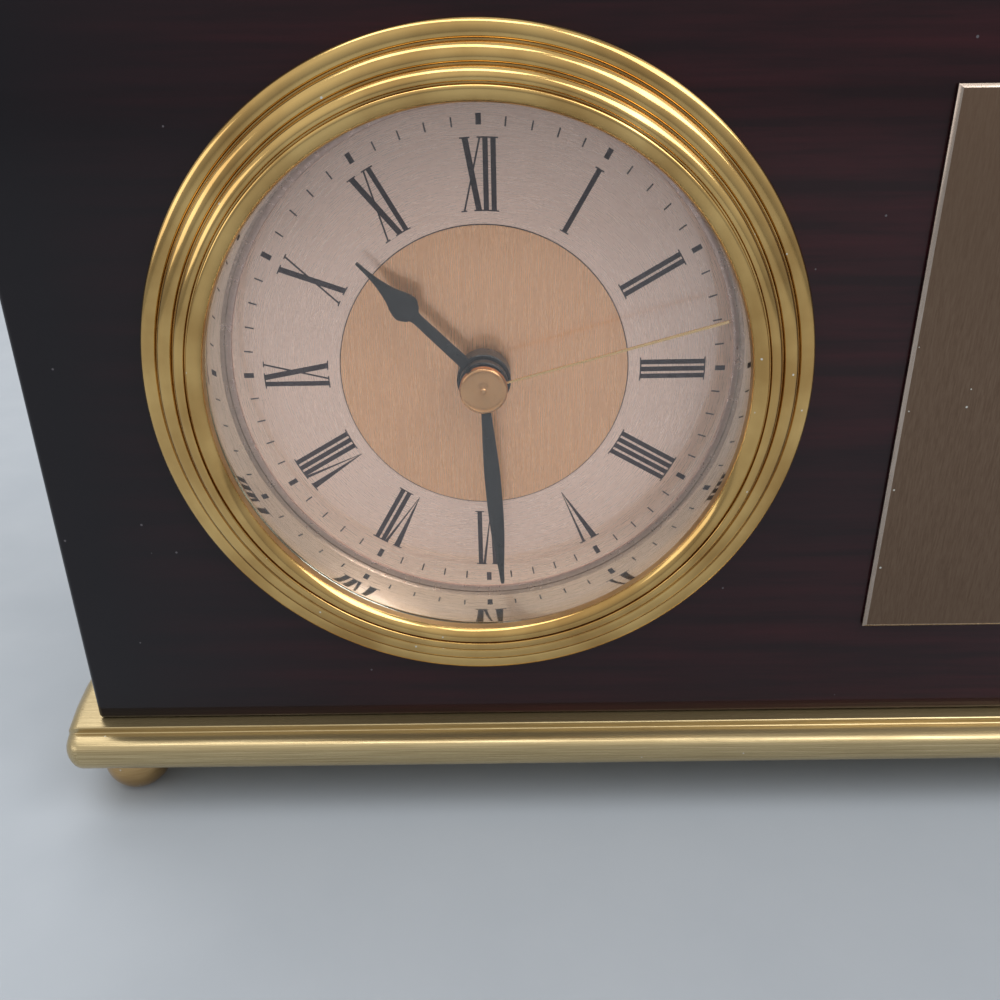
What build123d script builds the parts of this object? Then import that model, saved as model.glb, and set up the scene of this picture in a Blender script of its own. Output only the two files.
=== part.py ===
from build123d import *
import math
import os

# Desk clock. A lacquered wood block stands on a moulded brass base with four ball feet.
# A round brass fit-up clock is pushed into a bore in the block, and a bare brass plaque
# is bonded to the front beside it. Millimetres, +Z up, the front looks along -Y, and the
# origin is on the desk, under the middle of the base.
#
# Everything in the round clock is drawn on the dial: x to the right, y up and z towards
# the viewer, with z = 0 on the front face of the dial, and is then put in place.

os.makedirs("parts", exist_ok=True)

# ---------------------------------------------------------------- driving dimensions

# wood block
body_width = 187.0
body_height = 110.0
body_depth = 32.0
body_edge = 0.8              # broken edge under the lacquer
bore_chamfer = 1.0           # at the back of the bore

# brass base, a moulded bar
base_thickness = 6.35
base_overhang = 5.6          # nose beyond the wood, front and back
base_end_overhang = 6.7      # at the middle of the bowed ends
base_end_bow = 2.8           # the ends' corners behind their middle
base_end_bevel = 1.1         # along the top of the ends
base_top_reach = 2.05        # flat top beyond the wood
base_step = 1.1
base_ledge_reach = 4.15
base_nose_height = 2.85      # of the nose's furthest point, over the underside
base_toe_reach = 3.6
base_corner = 2.5            # in plan

# ball feet
ball_radius = 5.45
foot_height = 9.55           # desk to the underside of the base
foot_centre_height = 5.1
foot_in_x = 3.0              # foot centre inside the end of the wood
foot_in_y = 4.55             # foot centre behind the face of the wood
stud_radius = 1.95
stud_low = 3.0               # lower end of the stud, over the desk
stud_grip = 5.0              # of the stud in the base
stud_hole_spare = 0.2        # at the blind end of its hole

# wood screws through the base
screw_x = 62.0
screw_y = 8.0
screw_radius = 1.7
screw_head_radius = 3.5
screw_head_depth = 2.2
screw_length = 20.0
screw_tip_radius = 0.2
screw_slot_width = 0.8
screw_slot_depth = 1.0

# plaque
plaque_width = 50.8
plaque_height = 75.4
plaque_thickness = 0.7
plaque_tape = 0.2
plaque_bevel = 0.35
plaque_from_case = 57.2      # centre of the bore to the plaque's near edge
plaque_drop = 1.0            # plaque centre below the centre of the bore
tape_margin = 2.0

# round clock: where it sits
case_from_end = 61.9         # centre of the bore to the left end of the wood
dial_recess = 6.6            # dial behind the face of the wood
dial_shift = 0.65            # the loose dial and movement sit this far right in the case
insert_turn = 0.2            # degrees anticlockwise in its bore, as pushed in by hand

# bezel, turned brass with three stepped beads and an inner roll
bezel_radius = 44.5
bezel_bead_radii = (43.3, 40.9, 38.5, 37.1)  # crest of each bead and of the roll
bezel_bead_heights = (2.4, 4.0, 5.4, 5.55)   # crests in front of the wood
bezel_groove_radii = (42.2, 39.7, 37.8)      # between them
bezel_groove_heights = (2.55, 4.15, 5.25)
bezel_groove_depth = 0.25
bezel_edge_height = 1.5                      # straight outer rim
bezel_seat_bevel = 0.1                       # where the rim meets the wood
lip_radius = 35.6
lip_height = 4.7                             # in front of the wood
lip_thickness = 1.35

# crystal, reflector and dial
crystal_radius = 37.6
crystal_flat = 34.6          # flat rim outside this radius
crystal_thickness = 0.8
crystal_rise = 1.6
reflector_radius = 35.9
reflector_wall = 0.9
reflector_foot_radius = 34.95
reflector_foot_height = 0.35
dial_radius = 37.2
dial_thickness = 0.6
centre_disc_radius = 20.1
centre_disc_thickness = 0.12

# case cup and its friction ring
cup_radius = 39.5
cup_wall = 1.5
cup_back = 18.8              # outer face behind the dial
cup_rim_proud = 1.4          # rim in front of the wood, under the bezel
ledge_width = 2.0
ledge_height = 1.2
ring_front = 3.0             # behind the dial
ring_length = 9.0
ring_base = 0.35
ring_rib = 0.4
ring_rib_width = 1.2
ring_ribs = 3

# hands: lengths from the centre, angles clockwise from twelve, heights over the dial
hour_length = 22.9
hour_angle = 315.05
hour_height = 4.2
hour_thickness = 0.4
hour_collet_radius = 3.7
hour_collet_low = 0.9
minute_length = 30.8
minute_angle = 176.1
minute_height = 6.4
minute_thickness = 0.35
minute_collet_radius = 3.3
minute_collet_low = 4.8
second_length = 33.1
second_angle = 74.9
second_height = 7.6
second_thickness = 0.2
second_root_width = 0.3
second_tip_width = 0.4
second_hub_radius = 1.3
second_hub_length = 0.8
cap_radius = 3.2
cap_height = 1.1
cap_round = 0.35

# gear train: teeth
centre_teeth = 64
cannon_teeth = 12
third_teeth = 60
third_pinion_teeth = 8
second_teeth = 32
second_pinion_teeth = 8
step_teeth = 60
step_pinion_teeth = 8
rotor_teeth = 8
motion_teeth = 36
motion_pinion_teeth = 10
hour_teeth = 40
knob_teeth = 12

# gear train: centre distances and the directions from one arbor to the next, in degrees
centre_to_third = 6.12
centre_to_step = 6.0
step_to_rotor = 5.1
centre_to_motion = 6.0
third_direction = 60.0
step_direction = -60.0
rotor_direction = 10.0
motion_direction = 200.0
knob_direction = 170.0

# gear tooth shape, in modules and in shares of the tooth pitch
tooth_addendum = 0.75
tooth_dedendum = 1.1
tooth_root_share = 0.50
tooth_tip_share = 0.20

# movement: plates, wheels and arbors
front_plate_thickness = 1.2
middle_plate_thickness = 0.8
rear_plate_thickness = 1.0
wheel_gap = 0.4
motion_wheel_thickness = 0.8
wheel_thickness = 0.6
magnet_length = 0.8
magnet_radius = 1.2
stator_hole = 1.5
stator_thickness = 0.8
second_arbor = 0.45
thin_arbor = 0.3
rotor_arbor = 0.25
motion_post = 0.5
cannon_radius = 1.2
hour_pipe_radius = 2.0
boss_radius = 3.0
boss_proud = 0.6
pivot_depth = 0.6
plate_left = -16.5
plate_right = 19.0
plate_low = -10.6
plate_high = 15.5
post_points = ((-14.0, -8.4), (15.8, -8.6), (-14.0, 12.8), (9.5, 12.8))
post_radius = 1.8
plate_screw_radius = 0.7
plate_screw_head = 1.5
plate_screw_head_height = 0.8
plate_screw_length = 8.6
cross_length = 1.8           # of the screws' cross recess
cross_width = 0.4
cross_depth = 0.4

# stator, about the rotor's axis
stator_foot_left = 3.4
stator_foot_right = 3.6
stator_foot_low = 2.9
stator_foot_high = 2.7
stator_leg_spare = 0.4       # its legs are this much wider than the coil's core
stator_left_bend = (-1.8, 4.8, 5.3, 1.1)     # foot's inner corner, leg outside and inside, foot's end
stator_right_bend = (3.2, 4.3, 5.8)          # foot's inner corner, leg outside and inside

# coil and circuit
coil_y = 20.0
core_width = 2.6
core_thickness = 1.0
core_left = 1.5
core_right = 17.5
bobbin_left = 5.2
bobbin_right = 13.8
bobbin_flange = 0.8
bobbin_half = 3.5
bobbin_wall = 0.5
winding_half = 3.0
winding_round = 1.0
board_left = -12.0
board_right = 7.5
board_low = 2.5
board_high = 15.0
board_thickness = 0.8
can_radius = 1.0
can_length = 6.0
can_x = -7.0
can_y = 10.5
chip_size = 4.0
chip_height = 1.0
chip_x = 2.5
chip_y = 9.5

# battery, size AA, and its bay
battery_radius = 7.1
battery_length = 49.5        # without the button
button_radius = 2.75
button_length = 1.0
battery_end_round = 0.6
bay_half_length = 27.2
bay_centre_y = -19.75
bay_wall = 1.0
bay_floor = 3.2              # behind the dial
bay_floor_thickness = 1.0
contact_thickness = 0.3
contact_width = 8.0
contact_low = 16.0           # behind the dial
contact_high = 5.5
leaf_half_flat = 1.0         # of the flat that touches the cell
leaf_fold = 1.2
tab_width = 1.5
tab_root = 1.0               # of the tab behind the top of the riser
tab_reach_y = 6.0
arm_on_board = (1.5, 1.0)    # negative and positive arm, over the edge of the board

# setting knob
knob_radius = 5.0
knob_thickness = 3.2
knob_proud = 0.8             # gap to the cup
knob_bevel = 0.4
knob_shaft = 0.8
knob_flutes = 18
knob_flute_radius = 0.45

# clearances
bore_clearance = 0.3         # friction ring to the wood
push_fit = 0.01              # a part pressed on another
running_fit = 0.06           # a shaft in its hole
thread_clearance = 0.05
battery_clearance = 0.35
contact_clearance = 0.3
slot_clearance = 0.1

# ---------------------------------------------------------------- derived places

body_bottom = foot_height + base_thickness
body_front = -body_depth / 2
case_x = -body_width / 2 + case_from_end
case_z = body_bottom + body_height / 2
dial_x = case_x + dial_shift
dial_y = body_front + dial_recess
dial_z = case_z
dial_place = Location(Plane(origin=(dial_x, dial_y, dial_z), x_dir=(1, 0, 0), z_dir=(0, -1, 0)))
dial_place = dial_place * Rot(0, 0, insert_turn)

base_width = body_width + 2 * base_end_overhang
case_axis = (-dial_shift, 0.0)     # of the case, seen from the dial
ring_outer = cup_radius + ring_base + ring_rib
bore_radius = ring_outer + bore_clearance

wood_face = dial_recess      # on the dial's z
cup_inner = cup_radius - cup_wall
cup_front = wood_face + cup_rim_proud
cup_floor = cup_wall - cup_back
crystal_front = wood_face + lip_height - lip_thickness
crystal_rear = crystal_front - crystal_thickness

dial_rear = -dial_thickness
front_plate_rear = dial_rear - front_plate_thickness
hour_level = front_plate_rear - wheel_gap
motion_level = hour_level - motion_wheel_thickness - wheel_gap
centre_level = motion_level - motion_wheel_thickness - wheel_gap
third_level = centre_level - wheel_thickness - wheel_gap
middle_plate_front = third_level - wheel_thickness - wheel_gap
middle_plate_rear = middle_plate_front - middle_plate_thickness
second_level = middle_plate_rear - wheel_gap
step_level = second_level - wheel_thickness - wheel_gap
stator_front = step_level - wheel_thickness - 4 * wheel_gap
rear_plate_front = stator_front - stator_thickness
rear_plate_rear = rear_plate_front - rear_plate_thickness
board_rear = rear_plate_rear - board_thickness
coil_z = rear_plate_front - core_thickness / 2


def offset_from(point, distance, direction):
    """The point at a distance and a direction in degrees from another."""
    turn = math.radians(direction)
    return (point[0] + distance * math.cos(turn), point[1] + distance * math.sin(turn))


centre_axis = (0.0, 0.0)
third_axis = offset_from(centre_axis, centre_to_third, third_direction)
step_axis = offset_from(centre_axis, centre_to_step, step_direction)
rotor_axis = offset_from(step_axis, step_to_rotor, rotor_direction)
motion_axis = offset_from(centre_axis, centre_to_motion, motion_direction)


def shared_module(distance, teeth_a, teeth_b):
    """The module of two gears that mesh at a centre distance."""
    return 2 * distance / (teeth_a + teeth_b)


module_third_pinion = shared_module(centre_to_third, centre_teeth, third_pinion_teeth)
module_third = shared_module(centre_to_third, third_teeth, second_pinion_teeth)
module_second = shared_module(centre_to_step, second_teeth, step_pinion_teeth)
module_step = shared_module(step_to_rotor, step_teeth, rotor_teeth)
module_motion = shared_module(centre_to_motion, cannon_teeth, motion_teeth)
module_hour = shared_module(centre_to_motion, motion_pinion_teeth, hour_teeth)
motion_to_knob = module_motion * (motion_teeth + knob_teeth) / 2
knob_axis = offset_from(motion_axis, motion_to_knob, knob_direction)


def meshed(teeth_a, phase_a, teeth_b, direction):
    """The phase of gear b that puts its gaps on the teeth of gear a, in a direction from a."""
    share_a = (direction - phase_a) * teeth_a / 360
    return direction + 180 - (0.5 - share_a) * 360 / teeth_b


motion_phase = meshed(cannon_teeth, 0, motion_teeth, motion_direction)
hour_phase = meshed(motion_pinion_teeth, 0, hour_teeth, motion_direction + 180)
knob_phase = meshed(motion_teeth, motion_phase, knob_teeth, knob_direction)
third_pinion_phase = meshed(centre_teeth, 0, third_pinion_teeth, third_direction)
second_pinion_phase = meshed(third_teeth, 0, second_pinion_teeth, third_direction + 180)
step_pinion_phase = meshed(second_teeth, 0, step_pinion_teeth, step_direction)
rotor_phase = meshed(step_teeth, 0, rotor_teeth, rotor_direction)


# ---------------------------------------------------------------- shape helpers

def rod(radius, low, high, at=(0.0, 0.0)):
    """A round bar along z."""
    bar = Cylinder(radius, high - low, align=(Align.CENTER, Align.CENTER, Align.MIN))
    return Pos(at[0], at[1], low) * bar


def cone(low_radius, high_radius, low, high):
    """A tapered round bar along z."""
    bar = Cone(low_radius, high_radius, high - low, align=(Align.CENTER, Align.CENTER, Align.MIN))
    return Pos(0, 0, low) * bar


def tube(outer, inner, low, high, at=(0.0, 0.0)):
    return rod(outer, low, high, at) - rod(inner, low, high, at)


def block(left, right, near, far, low, high):
    """A box between two corners."""
    size = (right - left, far - near, high - low)
    middle = ((left + right) / 2, (near + far) / 2, (low + high) / 2)
    return Pos(*middle) * Box(*size)


def turned(outline):
    """A closed outline in x and z, turned about the axis of the case."""
    return Pos(*case_axis) * revolve(make_face(outline), Axis.Z)


def slab(points, low, high):
    """A flat plate with straight sides."""
    corners = [(x, y, low) for x, y in points]
    return extrude(make_face(Polyline(*corners, close=True)), high - low, dir=(0, 0, 1))


def gear(teeth, module, front, thickness, at=(0.0, 0.0), phase=0.0):
    """A spur gear behind the level of its front face, with a tooth at the phase."""
    pitch_radius = teeth * module / 2
    root = pitch_radius - tooth_dedendum * module
    tip = pitch_radius + tooth_addendum * module
    rising = ((root, -tooth_root_share), (tip, -tooth_tip_share))
    falling = ((tip, tooth_tip_share), (root, tooth_root_share))
    points = []
    for tooth in range(teeth):
        for radius, share in rising + falling:
            angle = phase + (tooth + share / 2) * 360 / teeth
            points.append(offset_from(at, radius, angle))
    return slab(points, front - thickness, front)


def clock_angle(degrees):
    """Clockwise from twelve, as degrees anticlockwise from the dial's x."""
    return 90 - degrees


def hand_blade(half_outline, thickness, height, angle):
    """A flat hand from (along, half width) points, along its angle."""
    right = [(along, -half) for along, half in half_outline]
    left = [(along, half) for along, half in reversed(half_outline)]
    blade = slab(right + left, height - thickness, height)
    return Rot(0, 0, clock_angle(angle)) * blade


def save(name, shape):
    export_step(shape, f"parts/{name}.step")


def save_in_clock(name, shape):
    save(name, dial_place * shape)


# ---------------------------------------------------------------- stand

def stud_points():
    x = body_width / 2 - foot_in_x
    y = body_depth / 2 - foot_in_y
    return {
        "front_left": (-x, -y),
        "front_right": (x, -y),
        "rear_left": (-x, y),
        "rear_right": (x, y),
    }


def screw_points():
    return [(x, y) for x in (-screw_x, screw_x) for y in (-screw_y, screw_y)]


def wood_body():
    solid = Pos(0, 0, case_z) * Box(body_width, body_depth, body_height)
    solid = fillet(solid.edges(), body_edge)
    bore = Rot(90, 0, 0) * Cylinder(bore_radius, 2 * body_depth)
    mouth = Cone(bore_radius, bore_radius + bore_chamfer, bore_chamfer)
    mouth = Pos(0, body_depth / 2 - bore_chamfer / 2, 0) * Rot(-90, 0, 0) * mouth
    solid -= Pos(case_x, 0, case_z) * (bore + mouth)
    pilot_top = foot_height + screw_length
    for point in screw_points():
        solid -= rod(screw_radius + thread_clearance, body_bottom, pilot_top + thread_clearance, point)
    return solid


def base_side(side):
    """The moulded front (side -1) or back (side 1) of the base, from the top edge down."""
    def at(reach, height):
        return (0, side * (body_depth / 2 + reach), foot_height + height)

    ledge_height = base_thickness - base_step
    step = Polyline(at(base_top_reach, base_thickness), at(base_top_reach, ledge_height),
                    at(base_ledge_reach, ledge_height))
    nose = ThreePointArc(at(base_ledge_reach, ledge_height), at(base_overhang, base_nose_height),
                         at(base_toe_reach, 0))
    return step + nose, at(base_top_reach, base_thickness), at(base_toe_reach, 0)


def base_plan():
    """The base from above: straight sides, bowed ends and small rounded corners."""
    end = base_width / 2
    corner = end - base_end_bow
    side = body_depth / 2 + base_overhang
    outline = Line((-corner, -side), (corner, -side)) + Line((corner, side), (-corner, side))
    outline += ThreePointArc((corner, -side), (end, 0), (corner, side))
    outline += ThreePointArc((-corner, side), (-end, 0), (-corner, -side))
    plan = make_face(outline)
    return fillet(plan.vertices(), base_corner)


def base_plate():
    front, front_top, front_toe = base_side(-1)
    back, back_top, back_toe = base_side(1)
    outline = front + back + Line(front_top, back_top) + Line(front_toe, back_toe)
    bar = extrude(make_face(outline), base_width / 2, dir=(1, 0, 0), both=True)
    ledge_height = base_thickness - base_step
    bevel_angle = math.degrees(math.atan2(base_end_bevel, base_step))
    lower = Pos(0, 0, foot_height) * extrude(base_plan(), ledge_height)
    upper = Pos(0, 0, foot_height + ledge_height) * extrude(base_plan(), base_step, taper=bevel_angle)
    bar &= lower + upper
    stud_end = foot_height + stud_grip + stud_hole_spare
    for point in stud_points().values():
        bar -= rod(stud_radius + thread_clearance, foot_height, stud_end, point)
    sink = cone(screw_head_radius + thread_clearance, screw_radius + thread_clearance, 0, screw_head_depth)
    for x, y in screw_points():
        hole = rod(screw_radius + 2 * thread_clearance, foot_height, body_bottom, (x, y))
        bar -= hole + Pos(x, y, foot_height) * sink
    return bar


def ball_foot(x, y):
    ball = Pos(x, y, foot_centre_height) * Sphere(ball_radius)
    ball &= block(x - 2 * ball_radius, x + 2 * ball_radius, y - 2 * ball_radius, y + 2 * ball_radius,
                  0, foot_height)
    return ball - rod(stud_radius + thread_clearance, stud_low, foot_height, (x, y))


def foot_studs():
    top = foot_height + stud_grip
    return Compound(children=[rod(stud_radius, stud_low, top, point) for point in stud_points().values()])


def base_screw(x, y):
    shank_end = screw_length - 2 * screw_radius
    head = cone(screw_head_radius, screw_radius, 0, screw_head_depth)
    shank = rod(screw_radius, 0, shank_end)
    point = cone(screw_radius, screw_tip_radius, shank_end, screw_length)
    slot = block(-screw_head_radius, screw_head_radius, -screw_slot_width / 2, screw_slot_width / 2,
                 0, screw_slot_depth)
    return Pos(x, y, foot_height) * (head + shank + point - slot)


def plaque(thickness, face, margin):
    """A plate on the face of the wood, with its back at a distance from it."""
    left = case_x + plaque_from_case
    middle_z = case_z - plaque_drop
    back = body_front - face
    return block(left + margin, left + plaque_width - margin, back - thickness, back,
                 middle_z - plaque_height / 2 + margin, middle_z + plaque_height / 2 - margin)


def plaque_plate():
    plate = plaque(plaque_thickness, plaque_tape, 0)
    front = plate.faces().sort_by(Axis.Y)[0]
    return chamfer(front.edges(), plaque_bevel)


# ---------------------------------------------------------------- round clock: front

def bezel_outline():
    """The turned section of the bezel, in radius and height over the dial."""
    def at(radius, height):
        return (radius, 0, wood_face + height)

    def quarter_round(start, crest):
        """A bulging quarter of an ellipse from a steep foot up to a level crest."""
        curl = 1 - math.sqrt(0.5)
        middle = at(start[0] + curl * (crest[0] - start[0]), crest[1] - curl * (crest[1] - start[1]))
        return ThreePointArc(at(*start), middle, at(*crest))

    crests = list(zip(bezel_bead_radii, bezel_bead_heights))
    grooves = zip(bezel_groove_radii, bezel_groove_heights)
    notch = bezel_groove_depth
    outline = quarter_round((bezel_radius, bezel_edge_height), crests[0])
    for crest, (radius, floor), next_crest in zip(crests, grooves, crests[1:]):
        foot = (radius - notch, floor + notch)
        outline += Polyline(at(*crest), at(radius, floor), at(radius, floor - notch),
                            at(radius - notch, floor - notch), at(*foot))
        outline += quarter_round(foot, next_crest)
    outline += quarter_round((lip_radius, lip_height), crests[-1])
    outline += Polyline(at(lip_radius, lip_height), at(lip_radius, lip_height - lip_thickness),
                        at(crystal_radius + push_fit, lip_height - lip_thickness),
                        at(crystal_radius + push_fit, cup_rim_proud),
                        at(cup_radius + push_fit, cup_rim_proud), at(cup_radius + push_fit, 0),
                        at(bezel_radius - bezel_seat_bevel, 0),
                        at(bezel_radius, bezel_seat_bevel), at(bezel_radius, bezel_edge_height))
    return outline


def bezel():
    return turned(bezel_outline())


def crystal():
    """A glass with a flat rim and a shallow dome."""
    rear, front, top = crystal_rear, crystal_front, crystal_front + crystal_rise
    inner_top = crystal_rear + crystal_rise

    def bulge(height, rise):
        """Half way along the dome's arc."""
        sphere = (crystal_flat ** 2 + rise ** 2) / (2 * rise)
        half = crystal_flat / 2
        return (half, 0, height - sphere + math.sqrt(sphere ** 2 - half ** 2))

    outline = (
        ThreePointArc((0, 0, top), bulge(top, crystal_rise), (crystal_flat, 0, front))
        + Polyline((crystal_flat, 0, front), (crystal_radius, 0, front), (crystal_radius, 0, rear),
                   (crystal_flat, 0, rear))
        + ThreePointArc((crystal_flat, 0, rear), bulge(inner_top, crystal_rise), (0, 0, inner_top))
        + Line((0, 0, inner_top), (0, 0, top))
    )
    return turned(outline)


def reflector_ring():
    wall = tube(reflector_radius + reflector_wall, reflector_radius, 0, crystal_rear)
    foot = tube(reflector_radius + reflector_wall, reflector_foot_radius, 0, reflector_foot_height)
    return wall + foot


def dial_plate():
    return tube(dial_radius, boss_radius + push_fit, dial_rear, 0)


def dial_centre_disc():
    return tube(centre_disc_radius, boss_radius + push_fit, 0, centre_disc_thickness)


# ---------------------------------------------------------------- round clock: case

def battery_bay(grow, low, high):
    """The space of the battery bay between two depths, or its walls' outside when grown."""
    half_height = battery_radius + battery_clearance + grow
    half_length = bay_half_length + grow
    return block(-half_length, half_length, bay_centre_y - half_height, bay_centre_y + half_height,
                 low, high)


def case_cup():
    ledge_rear = front_plate_rear - ledge_height
    inside = (
        rod(cup_inner, cup_floor, ledge_rear, case_axis)
        + rod(cup_inner - ledge_width, ledge_rear, front_plate_rear, case_axis)
        + rod(cup_inner, front_plate_rear, cup_front, case_axis)
    )
    shell = rod(cup_radius, -cup_back, cup_front, case_axis)
    bay = battery_bay(bay_wall, cup_floor, -bay_floor + bay_floor_thickness) & shell
    cup = (shell - inside) + bay
    cup -= battery_bay(0, -cup_back, -bay_floor)
    cup -= rod(knob_shaft + running_fit, -cup_back, cup_floor, knob_axis)
    for side in (-1, 1):
        cup -= contact_slot(side)
    return cup


def friction_ring():
    """A rubber band round the cup that grips the bore with its ribs."""
    inner = cup_radius + push_fit
    band = tube(cup_radius + ring_base, inner, -ring_front - ring_length, -ring_front, case_axis)
    pitch = (ring_length - ring_rib_width) / (ring_ribs - 1)
    for rib in range(ring_ribs):
        high = -ring_front - rib * pitch
        band += tube(ring_outer, inner, high - ring_rib_width, high, case_axis)
    return band


# ---------------------------------------------------------------- hands

def hour_hand():
    root = hour_collet_radius - 0.4
    outline = ((root, 0.82), (8.0, 0.82), (12.7, 0.75), (13.3, 1.55), (14.3, 1.95), (15.5, 1.72),
               (17.1, 1.05), (19.0, 0.55), (20.8, 0.28), (hour_length - 0.2, 0.22), (hour_length, 0.08))
    blade = hand_blade(outline, hour_thickness, hour_height, hour_angle)
    return blade + tube(hour_collet_radius, hour_pipe_radius + push_fit, hour_collet_low, hour_height)


def minute_hand():
    root = minute_collet_radius - 0.4
    outline = ((root, 0.62), (8.0, 0.90), (12.7, 1.11), (17.0, 1.12), (19.5, 1.08), (22.5, 0.95),
               (25.5, 0.70), (28.4, 0.42), (minute_length - 0.3, 0.30), (minute_length, 0.12))
    blade = hand_blade(outline, minute_thickness, minute_height, minute_angle)
    return blade + tube(minute_collet_radius, cannon_radius + push_fit, minute_collet_low, minute_height)


def seconds_hand():
    root = second_hub_radius - 0.3
    outline = ((root, second_root_width / 2), (second_length - 0.1, second_tip_width / 2),
               (second_length, second_tip_width / 4))
    blade = hand_blade(outline, second_thickness, second_height, second_angle)
    hub = tube(second_hub_radius, second_arbor + push_fit, second_height - second_hub_length, second_height)
    return blade + hub


def seconds_cap():
    cap = rod(cap_radius, second_height, second_height + cap_height)
    return fillet(cap.edges().sort_by(Axis.Z)[-1], cap_round)


# ---------------------------------------------------------------- gear train

def hour_wheel():
    wheel = gear(hour_teeth, module_hour, hour_level, motion_wheel_thickness, phase=hour_phase)
    pipe = rod(hour_pipe_radius, hour_level - motion_wheel_thickness, hour_height)
    bore = rod(cannon_radius + running_fit, hour_level - motion_wheel_thickness, hour_height)
    return wheel + pipe - bore


def centre_wheel():
    """The minute arbor: wheel, cannon pinion and the pipe that carries the minute hand."""
    wheel = gear(centre_teeth, module_third_pinion, centre_level, wheel_thickness)
    pinion = gear(cannon_teeth, module_motion, motion_level, motion_wheel_thickness)
    low = centre_level - wheel_thickness
    pipe = rod(cannon_radius, low, minute_height)
    return wheel + pinion + pipe - rod(second_arbor + running_fit, low, minute_height)


def seconds_wheel():
    wheel = gear(second_teeth, module_second, second_level, wheel_thickness)
    pinion = gear(second_pinion_teeth, module_third, third_level, wheel_thickness,
                  phase=second_pinion_phase)
    arbor = rod(second_arbor, rear_plate_front - pivot_depth, second_height)
    return wheel + pinion + arbor


def third_wheel():
    wheel = gear(third_teeth, module_third, third_level, wheel_thickness, third_axis)
    pinion = gear(third_pinion_teeth, module_third_pinion, centre_level, wheel_thickness, third_axis,
                  third_pinion_phase)
    arbor = rod(thin_arbor, middle_plate_front - pivot_depth, front_plate_rear + pivot_depth, third_axis)
    return wheel + pinion + arbor


def step_wheel():
    wheel = gear(step_teeth, module_step, step_level, wheel_thickness, step_axis)
    pinion = gear(step_pinion_teeth, module_second, second_level, wheel_thickness, step_axis,
                  step_pinion_phase)
    arbor = rod(thin_arbor, rear_plate_front - pivot_depth, middle_plate_rear + pivot_depth, step_axis)
    return wheel + pinion + arbor


def magnet_rear():
    return rear_plate_front + (stator_thickness - magnet_length) / 2 + slot_clearance


def rotor_pinion():
    pinion = gear(rotor_teeth, module_step, step_level, wheel_thickness, rotor_axis, rotor_phase)
    arbor = rod(rotor_arbor, rear_plate_front - pivot_depth, middle_plate_rear + pivot_depth, rotor_axis)
    return pinion + arbor


def rotor_magnet():
    rear = magnet_rear()
    return tube(magnet_radius, rotor_arbor + push_fit, rear, rear + magnet_length, rotor_axis)


def motion_wheel():
    wheel = gear(motion_teeth, module_motion, motion_level, motion_wheel_thickness, motion_axis,
                 motion_phase)
    pinion = gear(motion_pinion_teeth, module_hour, hour_level, motion_wheel_thickness, motion_axis)
    sleeve = rod(2 * motion_post, motion_level, hour_level - motion_wheel_thickness, motion_axis)
    rear = motion_level - motion_wheel_thickness
    return wheel + pinion + sleeve - rod(motion_post + running_fit, rear, hour_level, motion_axis)


def knob_stem():
    pinion = gear(knob_teeth, module_motion, motion_level, motion_wheel_thickness, knob_axis, knob_phase)
    return pinion + rod(knob_shaft, -cup_back - knob_proud - knob_thickness / 2, motion_level, knob_axis)


def setting_knob():
    front = -cup_back - knob_proud
    rear = front - knob_thickness
    knob = rod(knob_radius, rear, front, knob_axis)
    knob = chamfer(knob.edges().sort_by(Axis.Z)[0], knob_bevel)
    for flute in range(knob_flutes):
        at = offset_from(knob_axis, knob_radius, flute * 360 / knob_flutes)
        knob -= rod(knob_flute_radius, rear, front, at)
    return knob - rod(knob_shaft + push_fit, front - knob_thickness / 2, front, knob_axis)


# ---------------------------------------------------------------- movement frame

def pivot_hole(radius, low, high, at):
    return rod(radius + running_fit, low, high, at)


def front_plate():
    """The round plate behind the dial, with the centre boss and the posts."""
    plate = rod(dial_radius, front_plate_rear, dial_rear)
    plate += rod(boss_radius, dial_rear, boss_proud)
    for point in post_points:
        plate += rod(post_radius, middle_plate_front, front_plate_rear, point)
    post_end = motion_level - motion_wheel_thickness - wheel_gap / 2
    plate += rod(motion_post, post_end, front_plate_rear, motion_axis)
    plate -= rod(hour_pipe_radius + running_fit, front_plate_rear, boss_proud)
    plate -= pivot_hole(thin_arbor, front_plate_rear, front_plate_rear + pivot_depth, third_axis)
    for point in post_points:
        depth = rear_plate_rear + plate_screw_length + thread_clearance
        plate -= rod(plate_screw_radius + thread_clearance, middle_plate_front, depth, point)
    return plate


def inner_plate(low, high):
    return block(plate_left, plate_right, plate_low, plate_high, low, high)


def middle_plate():
    plate = inner_plate(middle_plate_rear, middle_plate_front)
    for point in post_points:
        plate += rod(post_radius, rear_plate_front, middle_plate_rear, point)
        plate -= rod(plate_screw_radius + thread_clearance, rear_plate_front, middle_plate_front, point)
    pinion_tip = module_third * (second_pinion_teeth / 2 + tooth_addendum)
    plate -= rod(pinion_tip + running_fit, middle_plate_rear, middle_plate_front)
    plate -= pivot_hole(thin_arbor, middle_plate_rear, middle_plate_front, third_axis)
    plate -= pivot_hole(thin_arbor, middle_plate_rear, middle_plate_front, step_axis)
    plate -= pivot_hole(rotor_arbor, middle_plate_rear, middle_plate_front, rotor_axis)
    return plate - pivot_hole(knob_shaft, middle_plate_rear, middle_plate_front, knob_axis)


def rear_plate():
    plate = inner_plate(rear_plate_rear, rear_plate_front)
    for point in post_points:
        plate -= rod(plate_screw_radius + thread_clearance, rear_plate_rear, rear_plate_front, point)
    blind = rear_plate_front - pivot_depth
    plate -= pivot_hole(second_arbor, blind, rear_plate_front, centre_axis)
    plate -= pivot_hole(thin_arbor, blind, rear_plate_front, step_axis)
    plate -= pivot_hole(rotor_arbor, blind, rear_plate_front, rotor_axis)
    return plate - pivot_hole(knob_shaft, rear_plate_rear, rear_plate_front, knob_axis)


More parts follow.
